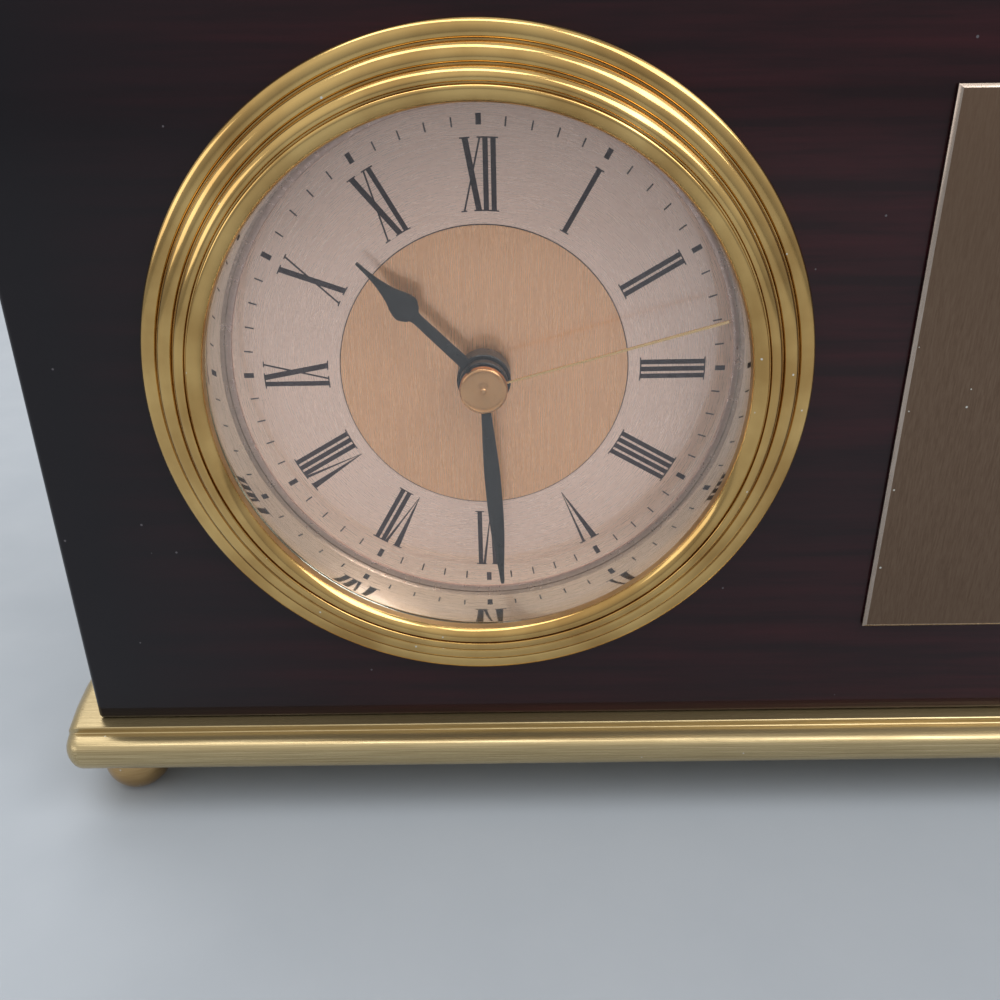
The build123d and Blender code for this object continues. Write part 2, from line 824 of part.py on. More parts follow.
def plate_screws():
    screws = []
    for point in post_points:
        head_rear = rear_plate_rear - plate_screw_head_height
        screw = rod(plate_screw_head, head_rear, rear_plate_rear, point)
        screw += rod(plate_screw_radius, rear_plate_rear, rear_plate_rear + plate_screw_length, point)
        bar = block(-cross_length / 2, cross_length / 2, -cross_width / 2, cross_width / 2, 0, cross_depth)
        cross = bar + Rot(0, 0, 90) * bar
        screws.append(screw - Pos(point[0], point[1], head_rear) * cross)
    return Compound(children=screws)


# ---------------------------------------------------------------- motor and circuit

def stator():
    """A U of soft iron: the rotor's hole in the foot, and a leg to each end of the coil."""
    x, y = rotor_axis
    leg = core_width + stator_leg_spare
    top = coil_y + core_width / 2
    left_inner, left_outside, left_inside, left_end = stator_left_bend
    right_inner, right_outside, right_inside = stator_right_bend
    low = y - stator_foot_low
    high = y + stator_foot_high
    points = (
        (x - stator_foot_left, low), (x + stator_foot_right, low), (core_right, y + right_outside),
        (core_right, top), (core_right - leg, top), (core_right - leg, y + right_inside),
        (x + right_inner, high), (x + left_inner, high), (core_left + leg, y + left_inside),
        (core_left + leg, top), (core_left, top), (core_left, y + left_outside),
        (x - stator_foot_left, y + left_end),
    )
    hole = rod(stator_hole, rear_plate_front, stator_front, rotor_axis)
    return slab(points, rear_plate_front, stator_front) - hole


def coil_core():
    return block(core_left, core_right, coil_y - core_width / 2, coil_y + core_width / 2,
                 rear_plate_front - core_thickness, rear_plate_front)


def around_core(left, right, half):
    return block(left, right, coil_y - half, coil_y + half, coil_z - half, coil_z + half)


def core_space():
    return block(bobbin_left, bobbin_right, coil_y - core_width / 2, coil_y + core_width / 2,
                 coil_z - core_thickness / 2, coil_z + core_thickness / 2)


def bobbin_body():
    half = core_width / 2 + bobbin_wall
    return around_core(bobbin_left, bobbin_right, half)


def coil_bobbin():
    flange_a = around_core(bobbin_left, bobbin_left + bobbin_flange, bobbin_half)
    flange_b = around_core(bobbin_right - bobbin_flange, bobbin_right, bobbin_half)
    return bobbin_body() + flange_a + flange_b - core_space()


def coil_winding():
    wound = around_core(bobbin_left + bobbin_flange, bobbin_right - bobbin_flange, winding_half)
    wound = fillet(wound.edges().filter_by(Axis.X), winding_round)
    return wound - bobbin_body()


def circuit_board():
    return block(board_left, board_right, board_low, board_high, board_rear, rear_plate_rear)


def quartz_can():
    can = Rot(0, 90, 0) * Cylinder(can_radius, can_length)
    return Pos(can_x, can_y, board_rear - can_radius) * can


def clock_chip():
    half = chip_size / 2
    return block(chip_x - half, chip_x + half, chip_y - half, chip_y + half,
                 board_rear - chip_height, board_rear)


# ---------------------------------------------------------------- battery and contacts

def contact_end(side):
    """The x of the bay's end wall."""
    return side * bay_half_length


def contact_slot(side):
    """The slot in the bay's upper wall for a contact's tab."""
    wall_low = bay_centre_y + battery_radius + battery_clearance
    end = contact_end(side)
    inner = end - side * (tab_width + slot_clearance)
    tab_front = board_rear
    return block(min(end, inner), max(end, inner), wall_low, wall_low + bay_wall,
                 tab_front - contact_thickness - slot_clearance, tab_front + slot_clearance)


def battery_contact(side, battery_end):
    """A strip at one end of the bay, with a leaf to the battery and a tab to the board."""
    end = contact_end(side)
    inward = -side
    touch = battery_end + side * contact_clearance
    middle = -(contact_low + contact_high) / 2
    half = (contact_low - contact_high) / 2
    skin = inward * contact_thickness
    flat = leaf_half_flat
    leaf = Polyline((end, 0, middle + half), (end, 0, middle - half), (end + skin, 0, middle - half),
                    (touch, 0, middle - flat), (touch, 0, middle + flat), (touch - skin, 0, middle + flat),
                    (touch - skin, 0, middle - flat), (end + skin, 0, middle - half + leaf_fold),
                    (end + skin, 0, middle + half), close=True)
    strip = extrude(make_face(leaf), contact_width / 2, dir=(0, 1, 0), both=True)
    strip = Pos(0, bay_centre_y, 0) * strip
    rear = board_rear - contact_thickness
    riser_top = bay_centre_y + battery_radius
    riser = block(min(end, end + skin), max(end, end + skin), bay_centre_y, riser_top, rear, -contact_high)
    inner = end + inward * tab_width
    tab = block(min(end, inner), max(end, inner), riser_top - tab_root, tab_reach_y, rear, board_rear)
    arm_end = board_left + arm_on_board[0] if side < 0 else board_right - arm_on_board[1]
    arm = block(min(end, arm_end), max(end, arm_end), tab_reach_y - tab_width, tab_reach_y,
                rear, board_rear)
    return strip + riser + tab + arm


def battery_middle():
    depth = -bay_floor - battery_clearance - battery_radius
    return (0, bay_centre_y, depth)


def battery_cell():
    jacket = Cylinder(battery_radius, battery_length)
    jacket = fillet(jacket.edges(), battery_end_round)
    return Pos(*battery_middle()) * Pos(-button_length / 2, 0, 0) * Rot(0, 90, 0) * jacket


def battery_button():
    button = Cylinder(button_radius, button_length)
    return Pos(*battery_middle()) * Pos(battery_length / 2, 0, 0) * Rot(0, 90, 0) * button


# ---------------------------------------------------------------- write the parts

def write_stand():
    save("wood_body", wood_body())
    save("base_plate", base_plate())
    for name, (x, y) in stud_points().items():
        save(f"foot_{name}", ball_foot(x, y))
    save("foot_studs", foot_studs())
    save("base_screws", Compound(children=[base_screw(x, y) for x, y in screw_points()]))
    save("plaque_plate", plaque_plate())
    save("plaque_tape", plaque(plaque_tape, 0, tape_margin))


def write_clock():
    half_battery = (battery_length + button_length) / 2
    pieces = {
        "bezel": bezel(),
        "crystal": crystal(),
        "reflector_ring": reflector_ring(),
        "dial_plate": dial_plate(),
        "dial_centre_disc": dial_centre_disc(),
        "case_cup": case_cup(),
        "friction_ring": friction_ring(),
        "hour_hand": hour_hand(),
        "minute_hand": minute_hand(),
        "seconds_hand": seconds_hand(),
        "seconds_cap": seconds_cap(),
        "hour_wheel": hour_wheel(),
        "centre_wheel": centre_wheel(),
        "seconds_wheel": seconds_wheel(),
        "third_wheel": third_wheel(),
        "step_wheel": step_wheel(),
        "rotor_pinion": rotor_pinion(),
        "rotor_magnet": rotor_magnet(),
        "motion_wheel": motion_wheel(),
        "knob_stem": knob_stem(),
        "setting_knob": setting_knob(),
        "movement_front_plate": front_plate(),
        "movement_middle_plate": middle_plate(),
        "movement_rear_plate": rear_plate(),
        "movement_screws": plate_screws(),
        "stator": stator(),
        "coil_core": coil_core(),
        "coil_bobbin": coil_bobbin(),
        "coil_winding": coil_winding(),
        "circuit_board": circuit_board(),
        "quartz_can": quartz_can(),
        "clock_chip": clock_chip(),
        "contact_negative": battery_contact(-1, -half_battery),
        "contact_positive": battery_contact(1, half_battery),
        "battery_cell": battery_cell(),
        "battery_button": battery_button(),
    }
    for name, shape in pieces.items():
        save_in_clock(name, shape)


write_stand()
write_clock()
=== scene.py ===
# %% [markdown]
# # Dressing a desk clock
# A desk clock has been built as solid parts: a lacquered wood block on a moulded brass base, with a
# round quartz clock pushed into a bore in it. Those parts are the fixed frame of this lesson. Here
# they get their looks: turned brass, brushed metal, printed numerals, glass and gloss lacquer.
# The frame is loaded first, because every new piece takes its place from it.

# %% Load the frame
import math

import bmesh
import bpy
from mathutils import Matrix, Vector


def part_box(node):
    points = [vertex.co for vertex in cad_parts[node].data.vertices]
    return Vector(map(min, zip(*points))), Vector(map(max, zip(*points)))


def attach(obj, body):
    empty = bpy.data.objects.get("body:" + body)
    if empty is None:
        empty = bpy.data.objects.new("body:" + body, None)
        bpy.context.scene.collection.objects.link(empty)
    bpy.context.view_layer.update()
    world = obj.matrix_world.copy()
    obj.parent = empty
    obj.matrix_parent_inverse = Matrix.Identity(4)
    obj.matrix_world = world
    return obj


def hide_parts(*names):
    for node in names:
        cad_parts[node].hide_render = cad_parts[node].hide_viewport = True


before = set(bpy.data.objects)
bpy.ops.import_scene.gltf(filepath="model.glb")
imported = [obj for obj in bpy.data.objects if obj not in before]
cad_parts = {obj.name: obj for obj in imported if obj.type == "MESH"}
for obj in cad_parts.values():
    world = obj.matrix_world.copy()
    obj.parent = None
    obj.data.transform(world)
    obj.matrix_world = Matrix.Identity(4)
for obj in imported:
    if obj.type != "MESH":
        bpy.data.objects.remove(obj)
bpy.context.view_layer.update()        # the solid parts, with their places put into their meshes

MM = 0.001

# %% [markdown]
# ## Where things are
# The parts say where everything is, so nothing here is placed by eye. The front of the wood, the face
# of the dial and the two axes are read from their boxes. The loose dial sits a little to the right of
# the middle of its case, so the case and the dial each have an axis of their own. Both axes run from
# front to back, and the viewer is on the side of the lower y.

# %% Read the places that the new pieces use
wood_low, wood_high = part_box("wood_body")
bezel_low, bezel_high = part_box("bezel")
dial_low, dial_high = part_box("dial_plate")

case_axis = ((bezel_low.x + bezel_high.x) / 2, (bezel_low.z + bezel_high.z) / 2)
dial_axis = ((dial_low.x + dial_high.x) / 2, (dial_low.z + dial_high.z) / 2)
wood_front = wood_low.y
dial_face = dial_low.y
dial_turn = math.radians(0.2)        # the clock stands a hair anticlockwise in its bore
print("case axis", [round(v / MM, 2) for v in case_axis], "dial axis", [round(v / MM, 2) for v in dial_axis])

# %% [markdown]
# ## The camera
# The camera looks down on the clock from close by, a little to the left of the middle, which is how
# such a clock is seen on a desk. It is set before the pieces are made.

# %% Set the camera
camera_place = Vector((-28.56, -138.44, 112.63)) * MM
camera_tilt = 64.37          # degrees from straight down
camera_turn = 0.19
camera_roll = -0.81
camera_lens = 34.35          # on a sensor 36 mm wide

camera_data = bpy.data.cameras.new("camera")
camera_data.lens = camera_lens
camera_data.sensor_width = 36
camera_data.clip_start = 0.01
camera = bpy.data.objects.new("camera", camera_data)
bpy.context.scene.collection.objects.link(camera)
camera.matrix_world = (
    Matrix.Translation(camera_place)
    @ Matrix.Rotation(math.radians(camera_turn), 4, "Z")
    @ Matrix.Rotation(math.radians(camera_tilt), 4, "X")
    @ Matrix.Rotation(math.radians(camera_roll), 4, "Z")
)
bpy.context.scene.camera = camera
print("camera at", [round(v, 4) for v in camera_place])

# %% [markdown]
# ## Modelling by hand, in code
# Every operator acts on what is selected, and the loaded parts come in selected. So the first helpers
# deselect everything or take whole pieces, and pick selects vertices by their place, as a hand would
# with a box select. The rest finish an edit or a piece, and the last hangs the piece on its body.

# %% Helpers for selecting and for finishing a piece
def start_fresh():
    """Back to object mode, with nothing selected."""
    if bpy.context.object and bpy.context.object.mode != "OBJECT":
        bpy.ops.object.mode_set(mode="OBJECT")
    bpy.ops.object.select_all(action="DESELECT")


def take(*pieces):
    """Selects these pieces only, the first one active."""
    start_fresh()
    for piece in pieces:
        piece.select_set(True)
    bpy.context.view_layer.objects.active = pieces[0]


def pick(wanted):
    """In edit mode, selects the vertices for which wanted(place) is true, and no others."""
    mesh = bmesh.from_edit_mesh(bpy.context.object.data)
    for vertex in mesh.verts:
        vertex.select = bool(wanted(vertex.co))
    mesh.select_flush_mode()
    mesh.select_flush(True)
    bmesh.update_edit_mesh(bpy.context.object.data)


def close_edit():
    """Points all normals outward and goes back to object mode."""
    bpy.ops.mesh.select_all(action="SELECT")
    bpy.ops.mesh.normals_make_consistent(inside=False)
    bpy.ops.object.mode_set(mode="OBJECT")


def soften_edges(piece, width, degrees=30):
    """Bevels the edges that are sharper than an angle. The width is in millimetres."""
    edge = piece.modifiers.new("edge", "BEVEL")
    edge.width = width * MM
    edge.segments = 2
    edge.limit_method = "ANGLE"
    edge.angle_limit = math.radians(degrees)
    bpy.ops.object.modifier_apply(modifier=edge.name)


def smooth(piece, degrees=30):
    """Shades a piece smooth, with edges sharper than an angle left crisp."""
    take(piece)
    bpy.ops.object.shade_smooth_by_angle(angle=math.radians(degrees))


def join(name, pieces):
    """Makes one piece of several."""
    take(*pieces)
    bpy.ops.object.join()
    joined = bpy.context.object
    joined.name = name
    joined.data.name = name
    return joined


def apply_place(piece):
    """Puts the piece's place, turn and size into its mesh."""
    take(piece)
    bpy.ops.object.transform_apply(location=True, rotation=True, scale=True)


def hang(piece, name, body, slot, material, *stands_for):
    """Names a finished piece, gives it its material, and hangs it on a body."""
    piece.name = name
    piece.data.name = name
    piece.data.materials.clear()
    piece.data.materials.append(material)
    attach(piece, body)
    if stands_for:
        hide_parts(*stands_for)
    print(name, "faces:", len(piece.data.polygons))
    return piece


# %% [markdown]
# ## Sections, and turning them on the lathe
# Most pieces here start from a line that is drawn as a chain of vertices, each one extruded from the
# last. The bezel, the glass, the ring, the collets and the little cap are turned parts, so one helper
# spins such a chain round its axis. The seam is merged, and the normals are made to point outward once
# it is closed. A lathe works to a smooth line, so arcs in a section are drawn with enough steps that
# no flat shows in a mirror finish.

# %% Chains of vertices, and the lathe
seam_width = 0.002 * MM      # vertices nearer than this are one


def draw_chain(places):
    """Draws a chain of vertices through (x, y, z) places in metres, and leaves it selected."""
    start_fresh()
    bpy.ops.mesh.primitive_plane_add(size=MM, location=places[0])
    piece = bpy.context.object
    bpy.ops.object.transform_apply(location=True)
    bpy.ops.object.mode_set(mode="EDIT")
    bpy.ops.mesh.select_all(action="SELECT")
    bpy.ops.mesh.merge(type="CENTER")
    for here, there in zip(places, places[1:]):
        step = tuple(end - start for start, end in zip(here, there))
        bpy.ops.mesh.extrude_vertices_move(TRANSFORM_OT_translate={"value": step})
    bpy.ops.mesh.select_all(action="SELECT")
    return piece


def lathe(section, axis, steps, closed=True):
    """Turns a section of (radius, y) points, in metres, about a front-to-back axis at (x, z)."""
    chain = [(axis[0] + radius, y, axis[1]) for radius, y in section]
    piece = draw_chain(chain + chain[:1] if closed else chain)
    bpy.ops.mesh.spin(steps=steps, angle=2 * math.pi, center=(axis[0], 0, axis[1]), axis=(0, 1, 0))
    bpy.ops.mesh.select_all(action="SELECT")
    bpy.ops.mesh.remove_doubles(threshold=seam_width)
    close_edit()
    return piece


def in_front(points, face):
    """Points of (radius, height in front of a face) in millimetres, as (radius, y) in metres."""
    return [(radius * MM, face - height * MM) for radius, height in points]


# %% [markdown]
# ## Shared effects
# Several finishes share an effect, such as fine lines left by an abrasive, so each effect is one node
# group with named inputs. A group only gives out a value or a colour: the shader stays in the
# material itself, where an exporter can read it. Turned work has lines in circles about its axis,
# brushed work has straight ones, and a few specks of dust lie on both.

# %% Node group helpers
def new_group(name, inputs, outputs):
    """An empty shader node group with float or vector sockets, and its two end nodes."""
    group = bpy.data.node_groups.new(name, "ShaderNodeTree")
    for socket, value in inputs.items():
        kind = "NodeSocketVector" if value is None else "NodeSocketFloat"
        made = group.interface.new_socket(name=socket, in_out="INPUT", socket_type=kind)
        if value is not None:
            made.default_value = value
    for socket in outputs:
        group.interface.new_socket(name=socket, in_out="OUTPUT", socket_type="NodeSocketFloat")
    return group, group.nodes.new("NodeGroupInput"), group.nodes.new("NodeGroupOutput")


def feed(tree, sockets, *values):
    """Gives each socket its value, or links it where the value is a socket too."""
    for socket, value in zip(sockets, values):
        if isinstance(value, bpy.types.NodeSocket):
            tree.links.new(value, socket)
        else:
            socket.default_value = value


def math_node(tree, operation, first, second=0.0):
    node = tree.nodes.new("ShaderNodeMath")
    node.operation = operation
    feed(tree, node.inputs, first, second)
    return node.outputs[0]


def noise_node(tree, vector, scale=1.0, detail=2.0, roughness=0.5):
    node = tree.nodes.new("ShaderNodeTexNoise")
    tree.links.new(vector, node.inputs["Vector"])
    node.inputs["Scale"].default_value = scale
    node.inputs["Detail"].default_value = detail
    node.inputs["Roughness"].default_value = roughness
    return node.outputs["Fac"]


def combine(tree, x=0.0, y=0.0, z=0.0):
    node = tree.nodes.new("ShaderNodeCombineXYZ")
    feed(tree, node.inputs, x, y, z)
    return node.outputs[0]


def scaled(tree, vector, size):
    """A vector times another, part by part."""
    node = tree.nodes.new("ShaderNodeVectorMath")
    node.operation = "MULTIPLY"
    feed(tree, node.inputs, vector, size)
    return node.outputs[0]


# %% The group for lines in circles, as on turned and spun work
circle_lines, given, result = new_group(
    "circle_lines", {"Vector": None, "Axis X": 0.0, "Axis Z": 0.0, "Lines": 6000.0, "Arcs": 6.0}, ["Lines"])
split = circle_lines.nodes.new("ShaderNodeSeparateXYZ")
circle_lines.links.new(given.outputs["Vector"], split.inputs[0])
out_x = math_node(circle_lines, "SUBTRACT", split.outputs["X"], given.outputs["Axis X"])
out_z = math_node(circle_lines, "SUBTRACT", split.outputs["Z"], given.outputs["Axis Z"])
square = math_node(circle_lines, "ADD", math_node(circle_lines, "MULTIPLY", out_x, out_x),
                   math_node(circle_lines, "MULTIPLY", out_z, out_z))
radius = math_node(circle_lines, "SQRT", square)
far = math_node(circle_lines, "MAXIMUM", radius, 0.0001)
ring = combine(
    circle_lines,
    math_node(circle_lines, "MULTIPLY", radius, given.outputs["Lines"]),
    math_node(circle_lines, "MULTIPLY", math_node(circle_lines, "DIVIDE", out_x, far), given.outputs["Arcs"]),
    math_node(circle_lines, "MULTIPLY", math_node(circle_lines, "DIVIDE", out_z, far), given.outputs["Arcs"]),
)
circle_lines.links.new(noise_node(circle_lines, ring, detail=3.0, roughness=0.6), result.inputs["Lines"])
print("group:", circle_lines.name)

# %% The group for straight lines, as left by a belt
straight_lines, given, result = new_group(
    "straight_lines", {"Vector": None, "Stretch": None}, ["Lines"])
stretched = scaled(straight_lines, given.outputs["Vector"], given.outputs["Stretch"])
strokes = noise_node(straight_lines, stretched, detail=3.0, roughness=0.65)
straight_lines.links.new(strokes, result.inputs["Lines"])
print("group:", straight_lines.name)

# %% The group for specks of dust
dust, given, result = new_group(
    "dust", {"Vector": None, "Scale": 300.0, "Size": 0.06, "Share": 0.2}, ["Specks"])
cells = dust.nodes.new("ShaderNodeTexVoronoi")
dust.links.new(given.outputs["Vector"], cells.inputs["Vector"])
dust.links.new(given.outputs["Scale"], cells.inputs["Scale"])
chance = dust.nodes.new("ShaderNodeSeparateColor")
dust.links.new(cells.outputs["Color"], chance.inputs["Color"])
near = math_node(dust, "LESS_THAN", cells.outputs["Distance"], given.outputs["Size"])
chosen = math_node(dust, "LESS_THAN", chance.outputs["Red"], given.outputs["Share"])
dust.links.new(math_node(dust, "MULTIPLY", near, chosen), result.inputs["Specks"])
print("group:", dust.name)

# %% [markdown]
# ## Materials
# A material here starts from the Principled shader. Its colour, roughness and bump come from the
# groups above or from plain noise on Object coordinates, which are the same in metres on every piece.
# The helper below makes the common part, and each finish then adds its own character.

# %% The common part of a material
def new_material(name, metallic=0.0, **settings):
    """A material with its Principled shader and a socket of Object coordinates."""
    material = bpy.data.materials.new(name)
    material.use_nodes = True
    tree = material.node_tree
    shader = tree.nodes["Principled BSDF"]
    shader.inputs["Metallic"].default_value = metallic
    for socket, value in settings.items():
        shader.inputs[socket.replace("_", " ")].default_value = value
    place = tree.nodes.new("ShaderNodeTexCoord").outputs["Object"]
    return material, tree, shader, place


def use_group(tree, group, vector, **settings):
    """A group in a material, with its own values. Its output is returned."""
    node = tree.nodes.new("ShaderNodeGroup")
    node.node_tree = group
    tree.links.new(vector, node.inputs["Vector"])
    for socket, value in settings.items():
        node.inputs[socket.replace("_", " ")].default_value = value
    return node.outputs[0]


def blend_colours(tree, factor, first, second):
    """A colour that goes from the first to the second as the factor goes from 0 to 1."""
    node = tree.nodes.new("ShaderNodeMix")
    node.data_type = "RGBA"
    colours = [socket for socket in node.inputs if socket.type == "RGBA"]
    feed(tree, colours, *((*value, 1.0) if isinstance(value, tuple) else value for value in (first, second)))
    tree.links.new(factor, node.inputs[0])
    return [socket for socket in node.outputs if socket.type == "RGBA"][0]


def between(tree, value, low, high, from_low=0.0, from_high=1.0):
    """Maps a value from one span to another, without leaving it."""
    node = tree.nodes.new("ShaderNodeMapRange")
    tree.links.new(value, node.inputs["Value"])
    limits = {"From Min": from_low, "From Max": from_high, "To Min": low, "To Max": high}
    for socket, number in limits.items():
        node.inputs[socket].default_value = number
    return node.outputs["Result"]


def bump(tree, shader, height, depth):
    """Raises the surface by a height map. The depth is in metres."""
    node = tree.nodes.new("ShaderNodeBump")
    node.inputs["Strength"].default_value = 1.0
    node.inputs["Distance"].default_value = depth
    tree.links.new(height, node.inputs["Height"])
    tree.links.new(node.outputs["Normal"], shader.inputs["Normal"])


# %% A plain material with a fine grain
noise_span = (0.3, 0.7)      # most of the values of a noise lie between these


def colour_by(tree, shader, pattern, first, second, span=noise_span):
    """Blends two colours by a pattern, for the base colour."""
    share = between(tree, pattern, 0.0, 1.0, *span)
    tree.links.new(blend_colours(tree, share, first, second), shader.inputs["Base Color"])


def roughness_by(tree, shader, pattern, low, high, span=noise_span):
    """Lets a pattern vary the roughness."""
    tree.links.new(between(tree, pattern, low, high, *span), shader.inputs["Roughness"])


def speckled(name, colour, other, roughness, scale, depth=0.00001, **settings):
    """A plain material that varies a little in colour, gloss and height, as moulded things do."""
    material, tree, shader, place = new_material(name, **settings)
    grain = noise_node(tree, place, scale=scale, detail=4.0)
    colour_by(tree, shader, grain, colour, other)
    roughness_by(tree, shader, grain, roughness * 0.85, roughness * 1.15)
    bump(tree, shader, grain, depth)
    return material


# %% [markdown]
# ### Brass, polished and brushed
# All the brass is one metal under clear lacquer, but the parts are finished by different hands. The
# bezel, the feet and the cap are turned and polished, so they keep faint circles and a near mirror.
# The base is drawn bar, brushed along its length, and so coarsely that it scatters some of its light,
# which is why it is a little less than fully metallic. Metal shows the room, tinted, so the tint is
# kept a little deep and the bands come from the shape.

# %% Brass finishes
brass_light = (0.70, 0.47, 0.18)
brass_deep = (0.48, 0.29, 0.10)


def turned_brass(name, axis, light, deep, roughness_low, roughness_high, lines=9000.0, depth=0.0000015):
    """Lacquered brass with the faint circles of the lathe about a front-to-back axis."""
    material, tree, shader, place = new_material(name, metallic=1.0)
    marks = use_group(tree, circle_lines, place, Axis_X=axis[0], Axis_Z=axis[1], Lines=lines)
    cloud = noise_node(tree, place, scale=90.0, detail=4.0)
    metal = blend_colours(tree, between(tree, cloud, 0.0, 1.0, 0.35, 0.65), light, deep)
    specks = use_group(tree, dust, place, Scale=450.0, Size=0.07, Share=0.25)
    tree.links.new(blend_colours(tree, specks, metal, (0.80, 0.77, 0.68)), shader.inputs["Base Color"])
    roughness_by(tree, shader, marks, roughness_low, roughness_high)
    bump(tree, shader, marks, depth)
    return material


def brushed_brass(name, stretch, light, deep, roughness_low, roughness_high, depth=0.000004, metallic=1.0):
    """Brass with straight lines. The stretch is how many lines there are to a metre along each axis."""
    material, tree, shader, place = new_material(name, metallic)
    marks = use_group(tree, straight_lines, place, Stretch=stretch)
    metal = blend_colours(tree, between(tree, marks, 0.0, 1.0, *noise_span), light, deep)
    specks = use_group(tree, dust, place, Scale=380.0, Size=0.06, Share=0.2)
    tree.links.new(blend_colours(tree, specks, metal, (0.72, 0.70, 0.62)), shader.inputs["Base Color"])
    roughness_by(tree, shader, marks, roughness_low, roughness_high)
    bump(tree, shader, marks, depth)
    return material


bezel_brass = turned_brass("bezel_brass", case_axis, brass_light, brass_deep, 0.07, 0.15)
sanded_brass = turned_brass("sanded_brass", case_axis, (0.60, 0.42, 0.22), (0.42, 0.27, 0.13), 0.42, 0.6,
                            lines=2500.0, depth=0.00001)
cap_brass = turned_brass("cap_brass", dial_axis, (0.72, 0.40, 0.20), (0.60, 0.31, 0.14), 0.16, 0.26,
                         lines=14000.0)

every_way = (3000.0, 3000.0, 3000.0)
round_upright = (400.0, 400.0, 9000.0)
along_base = (60.0, 9000.0, 9000.0)
up_plaque = (5000.0, 5000.0, 500.0)
hand_brass = brushed_brass("hand_brass", every_way, (0.92, 0.62, 0.31), (0.80, 0.48, 0.22), 0.2, 0.3)
foot_brass = brushed_brass("foot_brass", round_upright, (0.56, 0.38, 0.18), (0.42, 0.26, 0.11),
                           0.12, 0.22, depth=0.0000015)
base_brass = brushed_brass("base_brass", along_base, (0.60, 0.48, 0.27), (0.33, 0.245, 0.12),
                           0.22, 0.40, depth=0.000014, metallic=0.85)
# the plaque's face is painted dark as painted shade, and its rim and sides light as a painted highlight
plaque_brass = brushed_brass("plaque_brass", up_plaque, (0.20, 0.135, 0.092), (0.155, 0.10, 0.068),
                             0.34, 0.46, depth=0.000003)
plaque_painted_highlight = brushed_brass("plaque_painted_highlight", up_plaque, (0.52, 0.43, 0.36), (0.42, 0.33, 0.27), 0.2, 0.3)
print("brass finishes: 8")

# %% [markdown]
# ### The dial
# The dial is silvered metal, spun under an abrasive so that its lines are circles, and its pink tint
# is a painted reflection. The round plate at its middle is gold, brushed straight up and down. Both
# lie under a clear lacquer, and the fine lines scatter much of the light, so neither is fully metallic.

# %% Dial finishes
dial_lacquer = {"Coat_Weight": 1.0, "Coat_IOR": 1.7, "Coat_Roughness": 0.03}
dial_gloss = (0.24, 0.34)

silver_dial_painted_pink, tree, shader, place = new_material("silver_dial_painted_pink", metallic=0.45, **dial_lacquer)
marks = use_group(tree, circle_lines, place, Axis_X=dial_axis[0], Axis_Z=dial_axis[1],
                  Lines=9000.0, Arcs=10.0)
# the pink in these two colours is a painted reflection over the silver
colour_by(tree, shader, marks, (0.95, 0.66, 0.545), (0.85, 0.57, 0.465), (0.25, 0.75))
roughness_by(tree, shader, marks, *dial_gloss)
bump(tree, shader, marks, 0.00001)

gold_dial, tree, shader, place = new_material("gold_dial", metallic=0.65, **dial_lacquer)
marks = use_group(tree, straight_lines, place, Stretch=(9000.0, 9000.0, 150.0))
colour_by(tree, shader, marks, (0.94, 0.50, 0.27), (0.80, 0.40, 0.20))
roughness_by(tree, shader, marks, *dial_gloss)
bump(tree, shader, marks, 0.000008)

ring_mirror, tree, shader, place = new_material("ring_mirror", metallic=1.0)
wave = noise_node(tree, place, scale=120.0, detail=1.0)
colour_by(tree, shader, wave, (0.74, 0.74, 0.66), (0.68, 0.68, 0.60))
roughness_by(tree, shader, wave, 0.03, 0.08, (0.0, 1.0))
bump(tree, shader, wave, 0.00003)

# The ring's foot takes a darker copy of the dial's pink, a painted reflection over the ring's own silver.
ring_foot_painted_pink = speckled("ring_foot_painted_pink", (0.60, 0.42, 0.36), (0.50, 0.35, 0.30), 0.3, 1500.0, 0.000002,
                     metallic=0.9)

printed_ink, tree, shader, place = new_material("printed_ink")
grain = noise_node(tree, place, scale=4000.0)
colour_by(tree, shader, grain, (0.030, 0.016, 0.022), (0.055, 0.034, 0.040), (0.0, 1.0))
roughness_by(tree, shader, grain, 0.45, 0.6, (0.0, 1.0))
print("dial finishes: 5")

# %% [markdown]
# ### Hands, glass and case
# The hour and minute hands are blacked metal with a satin face. The glass has to let lamps through to
# the dial, so rays that ask about shadow see a clear shader, and all others see real glass.

# %% Hands, glass and case finishes
black_hand = speckled("black_hand", (0.014, 0.012, 0.013), (0.022, 0.019, 0.020), 0.32, 1500.0, 0.000004)
case_plastic = speckled("case_plastic", (0.012, 0.012, 0.013), (0.020, 0.020, 0.021), 0.5, 2500.0, 0.00002)
black_rubber = speckled("black_rubber", (0.015, 0.015, 0.015), (0.026, 0.025, 0.024), 0.75, 900.0, 0.00003)
movement_plastic = speckled("movement_plastic", (0.035, 0.035, 0.038), (0.05, 0.05, 0.054), 0.45, 1500.0)
wheel_plastic = speckled("wheel_plastic", (0.72, 0.69, 0.60), (0.66, 0.63, 0.54), 0.35, 800.0)
wheel_brass = speckled("wheel_brass", (0.76, 0.54, 0.24), (0.66, 0.44, 0.18), 0.25, 2500.0, 0.000002,
                       metallic=1.0)
magnet_black = speckled("magnet_black", (0.03, 0.03, 0.032), (0.06, 0.06, 0.062), 0.5, 2000.0)
soft_iron = speckled("soft_iron", (0.50, 0.50, 0.50), (0.40, 0.40, 0.41), 0.32, 1800.0, 0.000003,
                     metallic=1.0)
board_green = speckled("board_green", (0.02, 0.12, 0.05), (0.03, 0.16, 0.07), 0.3, 700.0)
chip_black = speckled("chip_black", (0.01, 0.01, 0.01), (0.02, 0.02, 0.02), 0.5, 2500.0)
bright_nickel = speckled("bright_nickel", (0.66, 0.65, 0.62), (0.55, 0.54, 0.50), 0.22, 1200.0, 0.000003,
                         metallic=1.0)
zinc = speckled("zinc", (0.60, 0.60, 0.58), (0.46, 0.47, 0.46), 0.35, 900.0, 0.000006, metallic=1.0)
white_tape = speckled("white_tape", (0.74, 0.74, 0.70), (0.64, 0.64, 0.60), 0.8, 1200.0, 0.00003)
